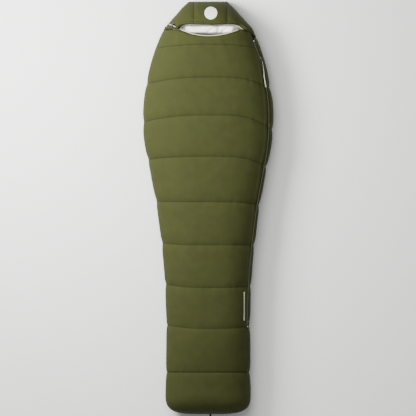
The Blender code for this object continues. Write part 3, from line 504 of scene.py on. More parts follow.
@dataclass(frozen=True)
class Cloth(Finish):
    """Plain-woven cloth: threads over and under each other, seams with stitches and painted shade, faint
    mottling.
    """

    thread_mm: float = 0.35
    weave: float = 0.35
    mottle: float = 0.10
    # Colour of the stitch thread; when it is set, the seams also get stitches and painted shade.
    stitch: str = ""

    def pattern(self, tree: Tree, shader: bpy.types.Node) -> None:
        """Link the weave (product of two sine waves), the mottling, the stitches and the painted shade at the
        seams.

        The cloth attribute holds the distance across and along the cloth and to the nearest seam.
        """
        cloth = add(tree, "Attribute", {"attribute_name": "cloth"}).outputs["Vector"]
        parts = add(tree, "SeparateXYZ", Vector=cloth).outputs
        place = add(tree, "TexCoord").outputs["Object"]
        wave = 2 * math.pi / (self.thread_mm * 0.001)
        warp = maths(tree, "SINE", maths(tree, "MULTIPLY", parts[0], wave))
        weft = maths(tree, "SINE", maths(tree, "MULTIPLY", parts[1], wave))
        threads = maths(tree, "MULTIPLY", warp, weft)
        soft = add(tree, "TexNoise", Vector=place, Scale=22.0, Detail=4.0, Roughness=0.55).outputs[0]
        fine = add(tree, "TexNoise", Vector=place, Scale=900.0, Detail=2.0).outputs[0]
        tint = add(tree, "MapRange", n0=soft, n1=0.25, n2=0.75, n3=1 - self.mottle, n4=1 + self.mottle)
        grain = maths(tree, "MULTIPLY_ADD", fine, 0.12, 0.94)
        level = maths(tree, "MULTIPLY", tint.outputs[0], grain)
        base = add(tree, "VectorMath", {"operation": "SCALE"}, n0=colour(self.base)[:3], n3=level).outputs[0]
        height = maths(tree, "MULTIPLY", threads, self.weave)
        if self.stitch:
            # Painted shade: within 4 mm of a seam the colour darkens to half, standing in for the shade that
            # falls in the seam's crease.
            near = maths(tree, "ABSOLUTE", parts[2])
            crease = maths(tree, "MULTIPLY", near, 1 / 0.004)
            shade = add(tree, "MapRange", n0=crease, n3=0.50, n4=1.0).outputs[0]
            base = add(tree, "VectorMath", {"operation": "SCALE"}, n0=base, n3=shade).outputs[0]
            in_line = maths(tree, "LESS_THAN", near, 0.00035)
            step = maths(tree, "FRACT", maths(tree, "MULTIPLY", parts[0], 1 / 0.0032))
            thread = maths(tree, "MULTIPLY", in_line, maths(tree, "LESS_THAN", step, 0.72))
            mix = add(tree, "Mix", {"data_type": "RGBA"}, n0=thread, n6=base, n7=colour(self.stitch))
            base = mix.outputs[2]
            height = maths(tree, "MULTIPLY_ADD", thread, 2.0, height)
        rough = add(tree, "MapRange", n0=soft, n3=self.roughness - 0.07, n4=self.roughness + 0.07)
        bump = add(tree, "Bump", Strength=0.35, Distance=0.00012, Height=height)
        tree.links.new(base, shader.inputs["Base Color"])
        tree.links.new(rough.outputs[0], shader.inputs["Roughness"])
        tree.links.new(bump.outputs[0], shader.inputs["Normal"])


SHELL = Cloth(
    "olive_polyester_ripstop", "#323518", 0.82, "shell_fabric",
    specular=0.12, thread_mm=0.30, stitch="#2E3114",
)  # fmt: skip
LINING = Cloth(
    "off_white_polyester_lining", "#EFEDE2", 0.75, "lining_fabric", specular=0.3, thread_mm=0.28, mottle=0.03
)
ZIP_TAPE = Cloth("dark_olive_zip_tape", "#3F4220", 0.80, "zip_tape", thread_mm=0.6, weave=0.9)
COIL = Finish("black_nylon_coil", "#16170F", 0.38, "zip_coil", ior=1.53)
BLACK_WEBBING = Cloth("black_polyester_webbing", "#141414", 0.85, "black_webbing", thread_mm=0.9, weave=1.0)
PALE_WEBBING = Cloth(
    "pale_polyester_webbing", "#D9D6CB", 0.80, "pale_strap", thread_mm=0.9, weave=1.0, mottle=0.03
)
PALE_CORD = Cloth("pale_braided_cord", "#D8D5CA", 0.80, "pale_cord", thread_mm=1.1, weave=1.6, mottle=0.03)
PRINT = Finish("pale_transfer_film", "#ECEAE0", 0.45, "pale_print", ior=1.46)
SMALL_PRINT = Finish("grey_transfer_film", "#A6A894", 0.50, "pale_print", ior=1.46)
SLIDER_METAL = Finish("black_lacquered_zinc", "#121212", 0.32, ior=1.55)
BLACK_ACETAL = Finish("black_acetal", "#131313", 0.42, ior=1.48)
STEEL = Finish("spring_steel", "#A9A9A9", 0.30, metallic=1.0)
FLOOR = Finish("pale_studio_paper", "#F4F4F2", 0.9)


def coat(obj: Obj, finish: Finish) -> None:
    """Give an object this finish as its only material."""
    obj.data.materials.clear()
    obj.data.materials.append(finish.build())
    LOG.info("%s: %d faces, %s", obj.name, len(obj.data.polygons), finish.name)


def bend_with_flap(obj: Obj) -> Obj:
    """Bake a piece's transform into its mesh and read its points."""
    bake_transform(obj)
    points = np.empty(len(obj.data.vertices) * 3, np.float32)
    obj.data.vertices.foreach_get("co", points)
    return obj


def place(obj: Obj, finish: Finish, body: Body | None, *nodes: str, fill: float | None = None) -> Obj:
    """Give a piece its material, hide the CAD nodes that it stands for and put it on its body, if it has one.

    Args:
        obj: The piece.
        finish: Its material.
        body: The body it rides on, or None to leave it unparented, with its transform baked.
        nodes: The CAD nodes.
        fill: Not used.
    """
    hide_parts(*nodes)
    coat(obj, finish)
    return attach(obj, body.value) if body else bend_with_flap(obj)


# ------------------------------------------------------------------------------ quilts


@dataclass(frozen=True)
class SeamCurve:
    """A cross seam: its y at the crown, how far its ends fall, and how deep it is pulled in."""

    y: float
    left_fall: float
    right_fall: float
    pull: float = 0.009

    def at(self, angle: Grid) -> Grid:
        """Return y of the seam at these angles: y - fall x (distance across)^power."""
        c = SHAPE.across(angle)
        right = np.asarray(angle) < 90
        return self.y - np.where(right, self.right_fall * c**3.5, self.left_fall * c**2.3)


SEAMS = (
    SeamCurve(-0.642, -0.018, -0.013, 0.0065),
    SeamCurve(-0.425, -0.018, -0.009, 0.0075),
    SeamCurve(-0.198, -0.008, 0.002, 0.0080),
    SeamCurve(0.031, -0.002, 0.018, 0.0090),
    SeamCurve(0.2725, 0.016, 0.060, 0.0095),
    SeamCurve(0.4925, 0.036, 0.082, 0.0095),
    SeamCurve(0.694, 0.034, 0.058, 0.0095),
    SeamCurve(0.868, 0.020, 0.030, 0.0045),
)
PUFF_LENGTH = 0.021
PUFF_HEIGHT = 0.003


def panel_rows(curves: list[Grid], pulls: list[float], spacing: float) -> tuple[Grid, Grid, Grid]:
    """Spread rows between seam curves, closer together beside each seam.

    The puff is PUFF_HEIGHT - pull x exp(-distance / PUFF_LENGTH) for the seam on either side.

    Args:
        curves: Y of each seam for every column, from the foot up.
        pulls: How deep each seam is pulled in.
        spacing: Mean distance of the rows.

    Returns:
        (station, lift, distance to the nearest seam), each rows x columns.
    """
    stations, lifts, nears = [], [], []
    for i in range(len(curves) - 1):
        low, high = curves[i], curves[i + 1]
        length = np.maximum(high - low, 1e-4)
        count = max(4, int(round(float(np.mean(length)) / spacing)))
        even = np.linspace(0, 1, count + 1)
        t = 0.6 * even + 0.4 * (0.5 - 0.5 * np.cos(math.pi * even))
        t = (t if i == len(curves) - 2 else t[:-1])[:, None]
        below, above = t * length, (1 - t) * length
        lift = PUFF_HEIGHT - pulls[i] * np.exp(-below / PUFF_LENGTH)
        lift = lift - pulls[i + 1] * np.exp(-above / PUFF_LENGTH)
        stations.append(low + t * length)
        lifts.append(lift)
        nears.append(np.where(below < above, below, -above))
    return np.concatenate(stations), np.concatenate(lifts), np.concatenate(nears)


def puckers(points: Grid, near: Grid, seed: int) -> Grid:
    """Return the small folds that run out from a seam, and the slack between the seams.

    Folds are noise across the cloth, 22 mm apart, times exp(-distance / 24 mm); the slack is two
    layers of noise, 180 mm and 60 mm across.
    """
    lengths = cloth_lengths(points)
    across, along = lengths[..., 0], lengths[..., 1]
    sway = 0.6 * soft_noise(along / 0.05, across / 0.09, seed + 5)
    fold = soft_noise(across / 0.022 + sway, along / 0.11, seed)
    slack = 0.0016 * soft_noise(across / 0.18, along / 0.12, seed + 1)
    slack = slack + 0.0006 * soft_noise(across / 0.060, along / 0.045, seed + 2)
    return 0.0013 * fold * np.exp(-np.abs(near) / 0.024) + slack


@dataclass
class QuiltedBody:
    """The front with its flap, the back and the foot box: puffed quilts over linings."""

    columns: int = 150
    spacing: float = 0.0062
    front_girth: float = 0.84
    back_girth: float = 0.95

    def front_grid(self, shares: Grid, spacing: float) -> tuple[Grid, Grid, Grid]:
        """Return (station, lift, seam distance) of the front, foot box seam to rim."""
        curves = [np.full(len(shares), BODY_SEAM)]
        for seam in SEAMS:
            curves.append(seam.at(SHAPE.front_angle(shares, np.full(len(shares), seam.y))))
        curves.append(SHAPE.rim(SHAPE.front_angle(shares, np.full(len(shares), 0.901))))
        curves[-2] = np.minimum(curves[-2], curves[-1] - 0.016)
        pulls = [0.0050] + [seam.pull for seam in SEAMS] + [0.0035]
        return panel_rows(curves, pulls, spacing)

    def front(self) -> Obj:
        """Build the front: one quilt."""
        shares = np.linspace(0, 1, self.columns)
        s, lift, near = self.front_grid(shares, self.spacing)
        base = SHAPE.point(SHAPE.front_angle(shares[None, :], s), s)
        lift = lift + puckers(base, near, 3)
        zip_away = shares[None, :] * self.front_girth
        seam_away = (1 - shares[None, :]) * self.front_girth
        lift = lift * smooth(0.0, 0.02, zip_away) + 0.0030 * np.exp(-(((zip_away - 0.03) / 0.02) ** 2))
        lift = lift - 0.0015 * np.exp(-zip_away / 0.004) - 0.006 * np.exp(-seam_away / 0.016)
        rim_away = s[-1:] - s
        lift = lift - 0.006 * np.exp(-rim_away / 0.005)
        outer = base + outward(base) * lift[..., None]
        depth = QUILT_DEPTH - 0.010 * np.exp(-rim_away / 0.02)
        inner = SHAPE.point(SHAPE.front_angle(shares[None, :], s, depth), s, depth)
        obj = slab("front_quilt", outer, inner, near)
        return place(obj, SHELL, None, "front_shell", "front_fill", "flap_shell", "flap_fill", fill=0.6)

    def front_lining(self) -> Obj:
        """Build the front's lining: a slack sheet that shows as a thin edge above the rim."""
        shares = np.linspace(0, 1, 90)
        s, lift, near = self.front_grid(shares, 0.011)
        rim_away = s[-1:] - s
        x = SHAPE.point(SHAPE.front_angle(shares, s[-1]), s[-1])[..., 0]
        shown = smooth(-0.175, -0.150, x) * smooth(0.195, 0.170, x)
        s = s + (0.0072 * shown - 0.0050) * np.exp(-rim_away / 0.02)
        depth = 0.0310 - 0.015 * np.exp(-rim_away / 0.016)
        face = SHAPE.point(SHAPE.front_angle(shares[None, :], s, depth), s, depth)
        lift = 0.5 * np.minimum(lift, 0) + puckers(face, near, 9)
        normal = outward(face)
        fold = np.where(rim_away < 0.03, 0.0, -np.abs(lift))[..., None]
        under = face + normal * (fold - 0.0014)
        obj = slab("front_lining", face + normal * fold, under)
        return place(obj, LINING, None, "front_liner", "flap_liner")

    def back_grid(self, shares: Grid, spacing: float) -> tuple[Grid, Grid, Grid]:
        """Return (station, lift, seam distance) of the back, its seams joining the front's."""
        turn = smooth(0.0, 1.0, shares)
        curves = [np.full(len(shares), BODY_SEAM)]
        for seam in SEAMS[:-1]:
            left, right = float(seam.at(np.array(179.0))), float(seam.at(np.array(12.0)))
            curves.append(left + (right - left) * turn)
        curves.append(np.full(len(shares), 0.900))
        pulls = [0.0050] + [seam.pull for seam in SEAMS[:-1]] + [0.0050]
        return panel_rows(curves, pulls, spacing)

    def back(self) -> Obj:
        """Build the back: round the underside from the left seam to the zip."""
        shares = np.linspace(0, 1, self.columns)
        s, lift, near = self.back_grid(shares, self.spacing)
        base = SHAPE.point(SHAPE.back_angle(shares[None, :], s), s)
        lift = lift + puckers(base, near, 17)
        edge = np.minimum(shares, 1 - shares)[None, :] * self.back_girth
        lift = lift * smooth(0.0, 0.02, edge) - 0.004 * np.exp(-shares[None, :] * self.back_girth / 0.014)
        outer = base + outward(base) * lift[..., None]
        outer[..., 2] = np.maximum(outer[..., 2], 0.0)
        inner = SHAPE.point(SHAPE.back_angle(shares[None, :], s, QUILT_DEPTH), s, QUILT_DEPTH)
        obj = slab("back_quilt", outer, inner, near)
        return place(obj, SHELL, Body.ROOT, "back_shell", "back_fill", fill=0.6)

    def back_lining(self) -> Obj:
        """Build the back's lining, with the wrinkles of slack cloth."""
        shares = np.linspace(0, 1, 100)
        s, lift, near = self.back_grid(shares, 0.010)
        face = SHAPE.point(SHAPE.back_angle(shares[None, :], s, LINING_DEPTH), s, LINING_DEPTH)
        normal = outward(face)
        edge = smooth(0.0, 0.05, np.minimum(shares, 1 - shares))[None, :]
        slack = 0.002 + np.abs(puckers(face, near, 23)) * 2.5 + 0.5 * np.maximum(lift, 0)
        under = face - normal * (0.0012 + slack * edge)[..., None]
        obj = slab("back_lining", face, under)
        return place(obj, LINING, Body.ROOT, "back_liner")

    def foot_rings(self, count: int, columns: int) -> tuple[Grid, Grid]:
        """Return (angle, station) of rings from the foot box's seam to the foot's end."""
        flat = np.linspace(FOOT_BOX_SEAM, SHAPE.foot_round, count // 3, endpoint=False)
        share = 1 - (1 - np.linspace(0, 1, count - count // 3)) ** 2.6
        s = np.concatenate([flat, -0.98 - 0.12 * share])[:, None]
        return np.linspace(0, 360, columns, endpoint=False)[None, :] + 0 * s, s + np.zeros(columns)

    def foot_box(self) -> Obj:
        """Build the foot box, closed at the foot's end."""
        angle, s = self.foot_rings(84, 180)
        base = SHAPE.point(angle, s)
        away = FOOT_BOX_SEAM - s
        end = smooth(*FOOT_END, s)
        lift = PUFF_HEIGHT - 0.0065 * np.exp(-away / PUFF_LENGTH) + puckers(base, away, 31) * (1 - end)
        outer = base + outward(base, wrap=True) * (lift * (1 - end))[..., None]
        outer[..., 2] = np.maximum(outer[..., 2], 0.0)
        obj = slab("foot_box_quilt", outer, SHAPE.point(angle, s, QUILT_DEPTH), away, wrap=True)
        return place(obj, SHELL, Body.ROOT, "foot_box_shell", "foot_box_fill", fill=0.65)

    def foot_box_lining(self) -> Obj:
        """Build the foot box's lining, with slack folds on its inner face."""
        angle, s = self.foot_rings(42, 96)
        face = SHAPE.point(angle, s, LINING_DEPTH)
        fold = np.abs(puckers(face, FOOT_BOX_SEAM - s, 37)) * (1 - smooth(*FOOT_END, s))
        under = SHAPE.point(angle, s, 0.0322 + 1.5 * fold)
        obj = slab("foot_box_lining", face, under, wrap=True)
        return place(obj, LINING, Body.ROOT, "foot_box_liner")

    def draft_tube(self) -> Obj:
        """Build the padded tube behind the zip, with gathers along its length."""
        y = np.linspace(-0.4135, 0.858, 260)
        angle = SHAPE.angle_at_height(0.198, y, 0.0316)
        path = SHAPE.point(angle, y, 0.0316) - np.array([0.030, 0.0, 0.005])
        radius = 0.0128 * (1 - 0.5 * np.exp(-(y - y[0]) / 0.008) - 0.5 * np.exp(-(y[-1] - y) / 0.008))
        radius = radius * (1 - 0.06 * np.abs(np.sin(y * 2 * math.pi / 0.16)) ** 6)
        radius = radius + 0.0004 * soft_noise(y / 0.012, 0 * y, 41)
        obj = tube("padded_draft_tube", path, radius, 20)
        return place(obj, LINING, Body.FLAP, "draft_tube", fill=0.7)


@dataclass
class Hood:
    """The hood: three quilted panels over a back, a drawn rim and a slack lining."""

    seam_x: tuple[float, float] = (-0.076, 0.102)
    channel: float = 0.014
    lock: tuple[float, float] = (-0.187, 0.972)
    mark_disc: Vector = (0.015, 1.032, 0.033)
    slack_middle: float = 0.015
    slack_height: float = 0.192

    def rows(self, angle: Grid, count: int) -> Grid:
        """Return stations from the rim to the top edge, closer together where it curves down."""
        low = SHAPE.hood_rim(angle)
        share = (1 - (1 - np.linspace(0, 1, count)) ** 1.7)[:, None]
        return low + (SHAPE.hood_end - low) * share

    def front(self) -> Obj:
        """Build the hood's front, pulled in at its two seams and at its rim's channel."""
        angle = np.linspace(1, 179, 190)[None, :]
        s = self.rows(angle, 84)
        base = SHAPE.point(angle, s)
        normal = outward(base)
        rim_away = s - s[:1]
        near = np.full(s.shape, 1.0)
        lift = np.full(s.shape, 0.0025)
        for seam in self.seam_x:
            away = base[..., 0] - seam
            lift = lift - 0.0055 * np.exp(-np.abs(away) / 0.014)
            near = np.where(np.abs(away) < np.abs(near), away, near)
        lift = lift - 0.0030 * np.exp(-np.abs(rim_away - self.channel) / 0.004)
        lift = lift + 0.0020 * np.exp(-(((rim_away - 0.006) / 0.004) ** 2))
        lift = lift - 0.0050 * np.exp(-rim_away / 0.0025)
        across = cloth_lengths(base)[..., 0]
        gather = soft_noise(across / 0.014, rim_away / 0.08, 43) * np.exp(-rim_away / 0.022)
        edge = np.minimum(angle - 1, 179 - angle) / 178 * 0.6
        top = base[-1:, :, 1] - base[..., 1]
        lift = lift + 0.0018 * gather + 0.7 * puckers(base, near, 47)
        lift = lift * smooth(0, 0.02, edge) - 0.004 * np.exp(-edge / 0.012) - 0.004 * np.exp(-top / 0.010)
        from_lock = np.hypot(base[..., 0] - self.lock[0], base[..., 1] - self.lock[1])
        lift = lift - 0.0045 * np.exp(-((from_lock / 0.018) ** 2))
        outer = base + normal * lift[..., None]
        outer[..., 2] += 0.0006
        depth = QUILT_DEPTH - 0.012 * np.exp(-rim_away / 0.012)
        inner = SHAPE.point(angle, s, depth)
        inner[..., 2] += 0.0006
        obj = slab("hood_front_quilt", outer, inner, near)
        panels = (f"hood_{side}_panel" for side in ("left", "centre", "right"))
        return place(obj, SHELL, Body.ROOT, *panels, "hood_front_fill", fill=0.6)

    def front_lining(self) -> Obj:
        """Build the lining under the hood's front."""
        angle = np.linspace(1, 179, 90)[None, :]
        s = self.rows(angle, 40)
        rim_away = s - s[:1]
        depth = LINING_DEPTH - 0.012 * np.exp(-rim_away / 0.012)
        face = SHAPE.point(angle, s, depth)
        fold = 2.5 * np.abs(puckers(face, 0.05 + rim_away, 53))
        under = SHAPE.point(angle, s, depth + 0.0014 + fold)
        obj = slab("hood_front_lining", face, under)
        return place(obj, LINING, Body.ROOT, "hood_front_liner")

    def back(self) -> Obj:
        """Build the hood's back, on the ground, from the neck seam to the straight top edge."""
        angle = np.linspace(181, 359, 150)[None, :]
        s = (NECK_SEAM + 0.198 * (1 - (1 - np.linspace(0, 1, 60)) ** 1.5))[:, None] + 0 * angle
        base = SHAPE.point(angle, s)
        near = s - NECK_SEAM
        edge = np.minimum(angle - 181, 359 - angle) / 178 * 0.6
        top = 1.10 - base[..., 1]
        lift = 0.002 - 0.006 * np.exp(-near / PUFF_LENGTH) + puckers(base, near, 59)
        lift = lift * smooth(0, 0.02, edge) - 0.003 * np.exp(-edge / 0.012) - 0.003 * np.exp(-top / 0.010)
        outer = base + outward(base) * lift[..., None]
        outer[..., 2] = np.maximum(outer[..., 2] - 0.0006, 0.0)
        inner = SHAPE.point(angle, s, QUILT_DEPTH)
        obj = slab("hood_back_quilt", outer, inner, near)
        return place(obj, SHELL, Body.ROOT, "hood_back_shell", "hood_back_fill", fill=0.6)

    def back_lining(self) -> Obj:
        """Build the slack lining that shows in the face opening: it billows up behind the rim."""
        angle = np.linspace(181, 359, 150)[None, :]
        s = (NECK_SEAM + 0.196 * np.linspace(0, 1, 64))[:, None] + 0 * angle
        face = SHAPE.point(angle, s, LINING_DEPTH)
        x, y = face[..., 0], face[..., 1]
        across = smooth(0.205, 0.110, np.abs(x - self.slack_middle))
        billow = across * smooth(0.896, 0.936, y) * smooth(1.000, 0.958, y)
        ridge = soft_noise(x / 0.040 + 0.9 * y / 0.05, y / 0.14, 61)
        crease = 1 - np.abs(soft_noise(x / 0.038 - 0.8 * y / 0.04, y / 0.09, 67))
        rise = billow * (self.slack_height + 0.009 * ridge - 0.013 * crease**4)
        top = face.copy()
        top[..., 2] += rise + 0.0016
        obj = slab("hood_back_lining", face, top)
        return place(obj, LINING, Body.ROOT, "hood_back_liner")

    def mark(self) -> Obj:
        """Build the plain printed disc on the centre panel."""
        x0, y0, radius = self.mark_disc
        share = np.array([0, 0.35, 0.7, 0.97, 1.0])[:, None]
        turn = np.linspace(0, 2 * math.pi, 72, endpoint=False)[None, :]
        x, y = x0 + radius * share * np.cos(turn), y0 + radius * share * np.sin(turn)
        flat = np.stack([x, y], -1).reshape(-1, 2)
        rings = [
            np.array([SHAPE.top_at(a, b, depth) for a, b in flat]).reshape(5, 72, 3)
            for depth in (-0.0052, -0.0012)
        ]
        rings[0][-1] = 0.5 * (rings[0][-1] + rings[1][-1])
        obj = slab("printed_disc", rings[0], rings[1], wrap=True)
        return place(obj, PRINT, Body.ROOT, "hood_mark")


# ------------------------------------------------------------------------------ zip


@dataclass
class Zip:
    """The zip: woven tapes, interlocked coils, a garage tab and the main slider's long pull."""

    pitch: float = 0.0021
    thread_radius: float = 0.00042
    tape_thickness: float = 0.0008
    slider_y: float = 0.795
    tab_length: float = 0.0169
    pull_length: float = 0.140

    def line(self, y: Grid) -> tuple[Grid, Grid]:
        """Return points of the zip's line and the level unit vectors that point out of the bag."""
        path = np.stack([SHAPE.side_line(y), y, np.full(len(y), SHAPE.zip_z)], -1)
        slope = np.gradient(path[:, 0], y)
        out = np.stack([np.ones(len(y)), -slope, 0 * y], -1)
        return path, out / np.linalg.norm(out, axis=1, keepdims=True)

    def tape(self, name: str, side: int) -> Obj:
        """Build one tape, from beside its coil to under the quilt's edge, up (1) or down (-1)."""
        path, out = self.line(np.linspace(SHAPE.zip_end, SHAPE.zip_top, 160))
        share = np.linspace(0, 1, 9)[None, :, None]
        middle = path[:, None] + UP * side * (0.0030 + 0.0095 * share)
        lean = 0.0004 - 0.0050 * share**1.5
        half = self.tape_thickness / 2
        return slab(name, middle + out[:, None] * (lean + half), middle + out[:, None] * (lean - half))

    def coil(self, name: str, side: int) -> Obj:
        """Build one coil: a loop of thick nylon thread for each tooth, leaning towards the other.

        The thread's middle runs at height (1.8 + 1.5 cos t) mm and out 1.05 sin t mm from the
        line, and moves along it by one pitch a turn.
        """
        low, high = SHAPE.zip_end + 0.001, SHAPE.zip_top
        turns = int((high - low) / self.pitch)
        t = np.linspace(0, 2 * math.pi * turns, turns * 9)
        path, out = self.line(low + (high - low) * t / t[-1])
        shift = t + (math.pi if side < 0 else 0.0)
        path = path + out * (1.05e-3 * np.sin(shift))[:, None]
        path = path + UP * side * (0.0018 + 0.0015 * np.cos(shift))[:, None]
        return tube(name, path, self.thread_radius, 5)

    def sides(self) -> list[Obj]:
        """Build the tapes and coils of the front and the back."""
        made = []
        for word, side, body, ends in (
            ("front", 1, None, ("flap", "knee")),
            ("rear", -1, Body.ROOT, ("back",)),
        ):
            tape, coil = self.tape(f"{word}_zip_tape", side), self.coil(f"{word}_nylon_coil", side)
            made.append(place(tape, ZIP_TAPE, body, *(f"{end}_zip_tape" for end in ends)))
            made.append(place(coil, COIL, body, *(f"{end}_zip_coil" for end in ends)))
        return made

    def long_pull(self) -> Obj:
        """Build the pale woven pull that trails from the main slider's tab along the zip."""
        radius = SHAPE.shoulder_radius
        share = np.linspace(0, 1, 70)
        angle = math.asin((self.slider_y - SHAPE.shoulder_y) / radius)
        angle = angle - (self.tab_length + self.pull_length * share) / radius
        drift = smooth(0.0, 0.9, share)
        out = 0.0060 - 0.0100 * drift + 0.0006 * np.sin(share * 9)
        up = 0.0024 + 0.0144 * drift
        lean = 0.54 * drift
        radial = np.stack([np.cos(angle), np.sin(angle), 0 * angle], -1)
        path = np.array([SHAPE.shoulder_x, SHAPE.shoulder_y, SHAPE.zip_z]) + radial * (radius + out)[:, None]
        path[:, 2] += up
        thick = radial * np.cos(lean)[:, None] + UP * np.sin(lean)[:, None]
        across = -radial * np.sin(lean)[:, None] + UP * np.cos(lean)[:, None]
        obj = strap("woven_long_pull", path, across, thick, 0.0040, 0.0015)
        return place(obj, PALE_WEBBING, Body.MAIN_PULL, "main_slider_pull_strap")

    def garage(self) -> list[Obj]:
        """Build the tab over the zip's top end, and the patch behind it.

        Each runs from one (out, up) offset from the zip's line to another.
        """
        made = []
        for name, node, start, end, body in (
            ("webbing_garage_tab", "zip_garage_tab", (0.0038, 0.0118), (0.0144, -0.0178), Body.GARAGE_TAB),
            ("webbing_patch", "garage_tab_patch", (0.0099, -0.0117), (0.0122, -0.0173), Body.ROOT),
        ):
            middle, out = self.line(np.array([0.8949, 0.8951]))
            y_axis = np.cross(UP, out[0])
            share = np.linspace(0, 1, 14)[:, None]
            reach, drop = end[0] - start[0], end[1] - start[1]
            centre = middle[0] + out[0] * (start[0] + reach * share) + UP * (start[1] + drop * share)
            along = out[0] * reach + UP * drop
            thick = np.cross(along / np.linalg.norm(along), y_axis)
            wide, deep = np.tile(y_axis, (14, 1)), np.tile(thick, (14, 1))
            made.append(place(strap(name, centre, wide, deep, 0.0045, 0.0011), BLACK_WEBBING, body, node))
        return made


# ------------------------------------------------------------------------------ trim


@dataclass
class Trim:
    """The drawcord's tail with its knot, the hang loop, the side strip and the small hardware."""

    cord_radius: float = 0.00125
    eyelet: tuple[float, float] = (-0.172, 0.9605)
    clearance: float = 0.0078

    def tail_arc(self) -> tuple[np.ndarray, float, np.ndarray]:
        """Return (centre, radius, heading) of the upright arc that the tail follows off the hood."""
        start = SHAPE.top_at(*self.eyelet)
        middle = SHAPE.top_at(-0.200, 0.9727)
        edge = SHAPE.point(180.0, 0.979)
        heading = (edge - start) * [1, 1, 0]
        heading /= np.linalg.norm(heading)
        flat = [np.array(((p - start) @ heading, p[2])) for p in (start, middle, edge)]
        rows = np.array([2 * (flat[1] - flat[0]), 2 * (flat[2] - flat[0])])
        squares = np.array([flat[1] @ flat[1] - flat[0] @ flat[0], flat[2] @ flat[2] - flat[0] @ flat[0]])
        out, up = np.linalg.solve(rows, squares)
        radius = math.hypot(flat[0][0] - out, flat[0][1] - up) + self.clearance
        return start * [1, 1, 0] + heading * out + np.array((0, 0, up)), radius, heading

    def tail_path(self) -> Grid:
        """Return the tail's centreline: eyelet, arc over the hood's side, under the edge, knot."""
        start = SHAPE.top_at(*self.eyelet)
        centre, radius, heading = self.tail_arc()
        off = (start - centre) / np.linalg.norm(start - centre)
        turn = np.radians(np.linspace(40.5, 0.0, 9))[:, None]
        arc = centre + radius * (np.cos(turn) * heading + np.sin(turn) * UP)
        end = [(-0.2155, 0.983, 0.0600), (-0.2120, 0.985, 0.0350), (-0.2050, 0.986, 0.0140)]
        end += [(-0.1960, 0.984, 0.0040), (-0.1850, 0.978, 0.0017)]
        knots = np.vstack([start + off * 0.0030, arc, end])
        knots = np.vstack([2 * knots[0] - knots[1], knots, 2 * knots[-1] - knots[-2]])
        t = np.linspace(0, 1, 24, endpoint=False)[:, None]
        parts = []
        for a, b, c, d in zip(knots, knots[1:], knots[2:], knots[3:]):
            bend = (2 * a - 5 * b + 4 * c - d) * t**2 + (3 * b - a - 3 * c + d) * t**3
            parts.append(0.5 * (2 * b + (c - a) * t + bend))
        fine = np.vstack([*parts, knots[-2:-1]])
        run = np.concatenate([[0], np.cumsum(np.linalg.norm(np.diff(fine, axis=0), axis=1))])
        even = np.linspace(0, run[-1], 150)
        return np.stack([np.interp(even, run, fine[:, k]) for k in range(3)], -1)

    def tail(self) -> list[Obj]:
        """Build the tail as a round braid, and its end knot as a turned and drawn overhand."""
        path = self.tail_path()
        cord = tube("braided_cord_tail", path, self.cord_radius, 14)
        place(cord, PALE_CORD, Body.ROOT, "drawcord_tail")
        low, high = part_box("drawcord_knot")
        centre = (np.array(low) + np.array(high)) / 2
        t = np.linspace(0, 2 * math.pi, 90)
        radius = 0.0012 * (2 + np.cos(3 * t))
        loop = np.stack([radius * np.cos(2 * t), radius * np.sin(2 * t), 0.0016 * np.sin(3 * t)], -1)
        knot = tube("cord_end_knot", centre + loop, 0.00115, 10)
        place(knot, PALE_CORD, Body.ROOT, "drawcord_knot")
        return [cord, knot]

    def rim_cord(self) -> Obj:
        """Build the drawcord inside the hood's rim."""
        start = math.degrees(math.acos(0.76**1.25))
        end = 180 - math.degrees(math.acos(0.67**1.25))
        angle = np.linspace(start, end, 200)
        path = SHAPE.point(angle, SHAPE.hood_rim(angle) + 0.004, 0.006)
        obj = tube("braided_rim_cord", path, self.cord_radius, 10)
        return place(obj, PALE_CORD, Body.ROOT, "rim_drawcord")

    def hang_loop(self) -> Obj:
        """Build the webbing loop at the foot's end."""
        turn = np.radians(np.linspace(88, 272, 48))
        radial = np.stack([0 * turn, np.cos(turn), np.sin(turn)], -1)
        path = np.array([0.013, -1.1002, 0.11]) + radial * 0.0116
        obj = strap("webbing_hang_loop", path, np.tile([1.0, 0, 0], (48, 1)), radial, 0.005, 0.0012)
        return place(obj, BLACK_WEBBING, Body.ROOT, "foot_hang_loop")

    def side_strip(self) -> Obj:
        """Build the plain pale strip on the leg, which follows the quilts under it."""
        s = np.linspace(-0.600, -0.448, 60)
        x = np.linspace(0.1885, 0.1925, 7)
        grids = []
        for depth in (-0.0036, -0.0016):
            rows = [[SHAPE.top_at(float(a + 0.006 * (b + 0.52)), float(b), depth) for a in x] for b in s]
            grids.append(np.array(rows))
        grids[0][:, [0, -1]] = 0.5 * (grids[0][:, [0, -1]] + grids[1][:, [0, -1]])
        obj = slab("printed_side_strip", *grids)
        return place(obj, SMALL_PRINT, Body.ROOT, "side_strip")

    def hardware(self) -> None:
        """Dress the small hard parts, which keep their CAD shapes."""
        finishes = {
            SLIDER_METAL: (
                "main_slider_body", "lower_slider_body", "main_slider_pull_tab", "lower_slider_pull_tab",
            ),  # fmt: skip
            STEEL: ("cord_lock_spring", "zip_bottom_stop", "back_top_stop", "flap_top_stop"),
            BLACK_ACETAL: ("cord_lock_barrel", "cord_lock_plunger", "cord_eyelet"),
        }
        for finish, names in finishes.items():
            for name in names:
                coat(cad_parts[name], finish)


# ------------------------------------------------------------------------------ studio


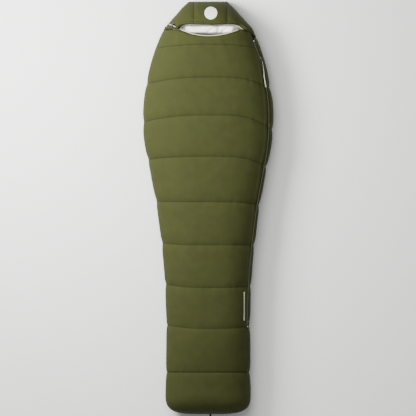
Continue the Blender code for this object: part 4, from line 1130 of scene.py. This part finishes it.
@dataclass
class Studio:
    """A pale floor, soft light from above the head's left, and a camera straight above."""

    height: float = 60.0
    seen: float = 2.216

    def floor(self) -> None:
        """Lay a plain pale floor under the bag."""
        size = 14.0
        points = np.array([[-size, -size, 0], [size, -size, 0], [size, size, 0], [-size, size, 0]], float)
        obj = mesh_object("studio_floor", points, np.array([[0, 1, 2, 3]]))
        obj.location.z = -0.002
        obj.data.materials.append(FLOOR.build())

    def lamp(self, name: str, place: Vector, aim: Vector, size: float, power: float) -> None:
        """Add a square area light of this size, in metres and watts, that faces a point."""
        light = bpy.data.lights.new(name, "AREA")
        light.size = size
        light.energy = power
        obj = bpy.data.objects.new(name, light)
        obj.location = place
        to = np.array(aim, float) - np.array(place, float)
        to /= np.linalg.norm(to)
        obj.rotation_euler = (math.acos(-to[2]), 0.0, math.atan2(-to[0], to[1]))
        bpy.context.scene.collection.objects.link(obj)

    def lights(self) -> None:
        """Set an even pale world, a key light from the head's left and a wide light above."""
        world = bpy.data.worlds.new("studio_world")
        world.use_nodes = True
        world.node_tree.nodes["Background"].inputs["Color"].default_value = (1.0, 1.0, 1.0, 1.0)
        world.node_tree.nodes["Background"].inputs["Strength"].default_value = 0.38
        bpy.context.scene.world = world
        self.lamp("key_light", (-1.6, 1.1, 1.9), (0.0, 0.3, 0.0), 1.2, 185.0)
        self.lamp("top_light", (-0.6, 0.9, 4.5), (0.0, 0.6, 0.0), 2.5, 150.0)

    def camera(self) -> None:
        """Look straight down, with the head at the top of the image."""
        lens = bpy.data.cameras.new("top_camera")
        lens.sensor_width = 36.0
        lens.lens = 36.0 * (self.height - SHAPE.side) / self.seen
        obj = bpy.data.objects.new("top_camera", lens)
        obj.location = (0.0, -0.002, self.height)
        bpy.context.scene.collection.objects.link(obj)
        bpy.context.scene.camera = obj


def main() -> None:
    """Build every piece, light it and set the camera."""
    logging.basicConfig(level=logging.INFO, format="%(name)s: %(message)s")
    body, hood, zipper, trim, studio = QuiltedBody(), Hood(), Zip(), Trim(), Studio()
    steps = (
        body.front, body.front_lining, body.back, body.back_lining, body.foot_box, body.foot_box_lining,
        body.draft_tube, hood.front, hood.front_lining, hood.back, hood.back_lining, hood.mark,
        zipper.sides, zipper.long_pull, zipper.garage, trim.tail, trim.rim_cord, trim.hang_loop,
        trim.side_strip, trim.hardware, studio.floor, studio.lights, studio.camera,
    )  # fmt: skip
    for step in steps:
        step()


if __name__ == "__main__":
    main()
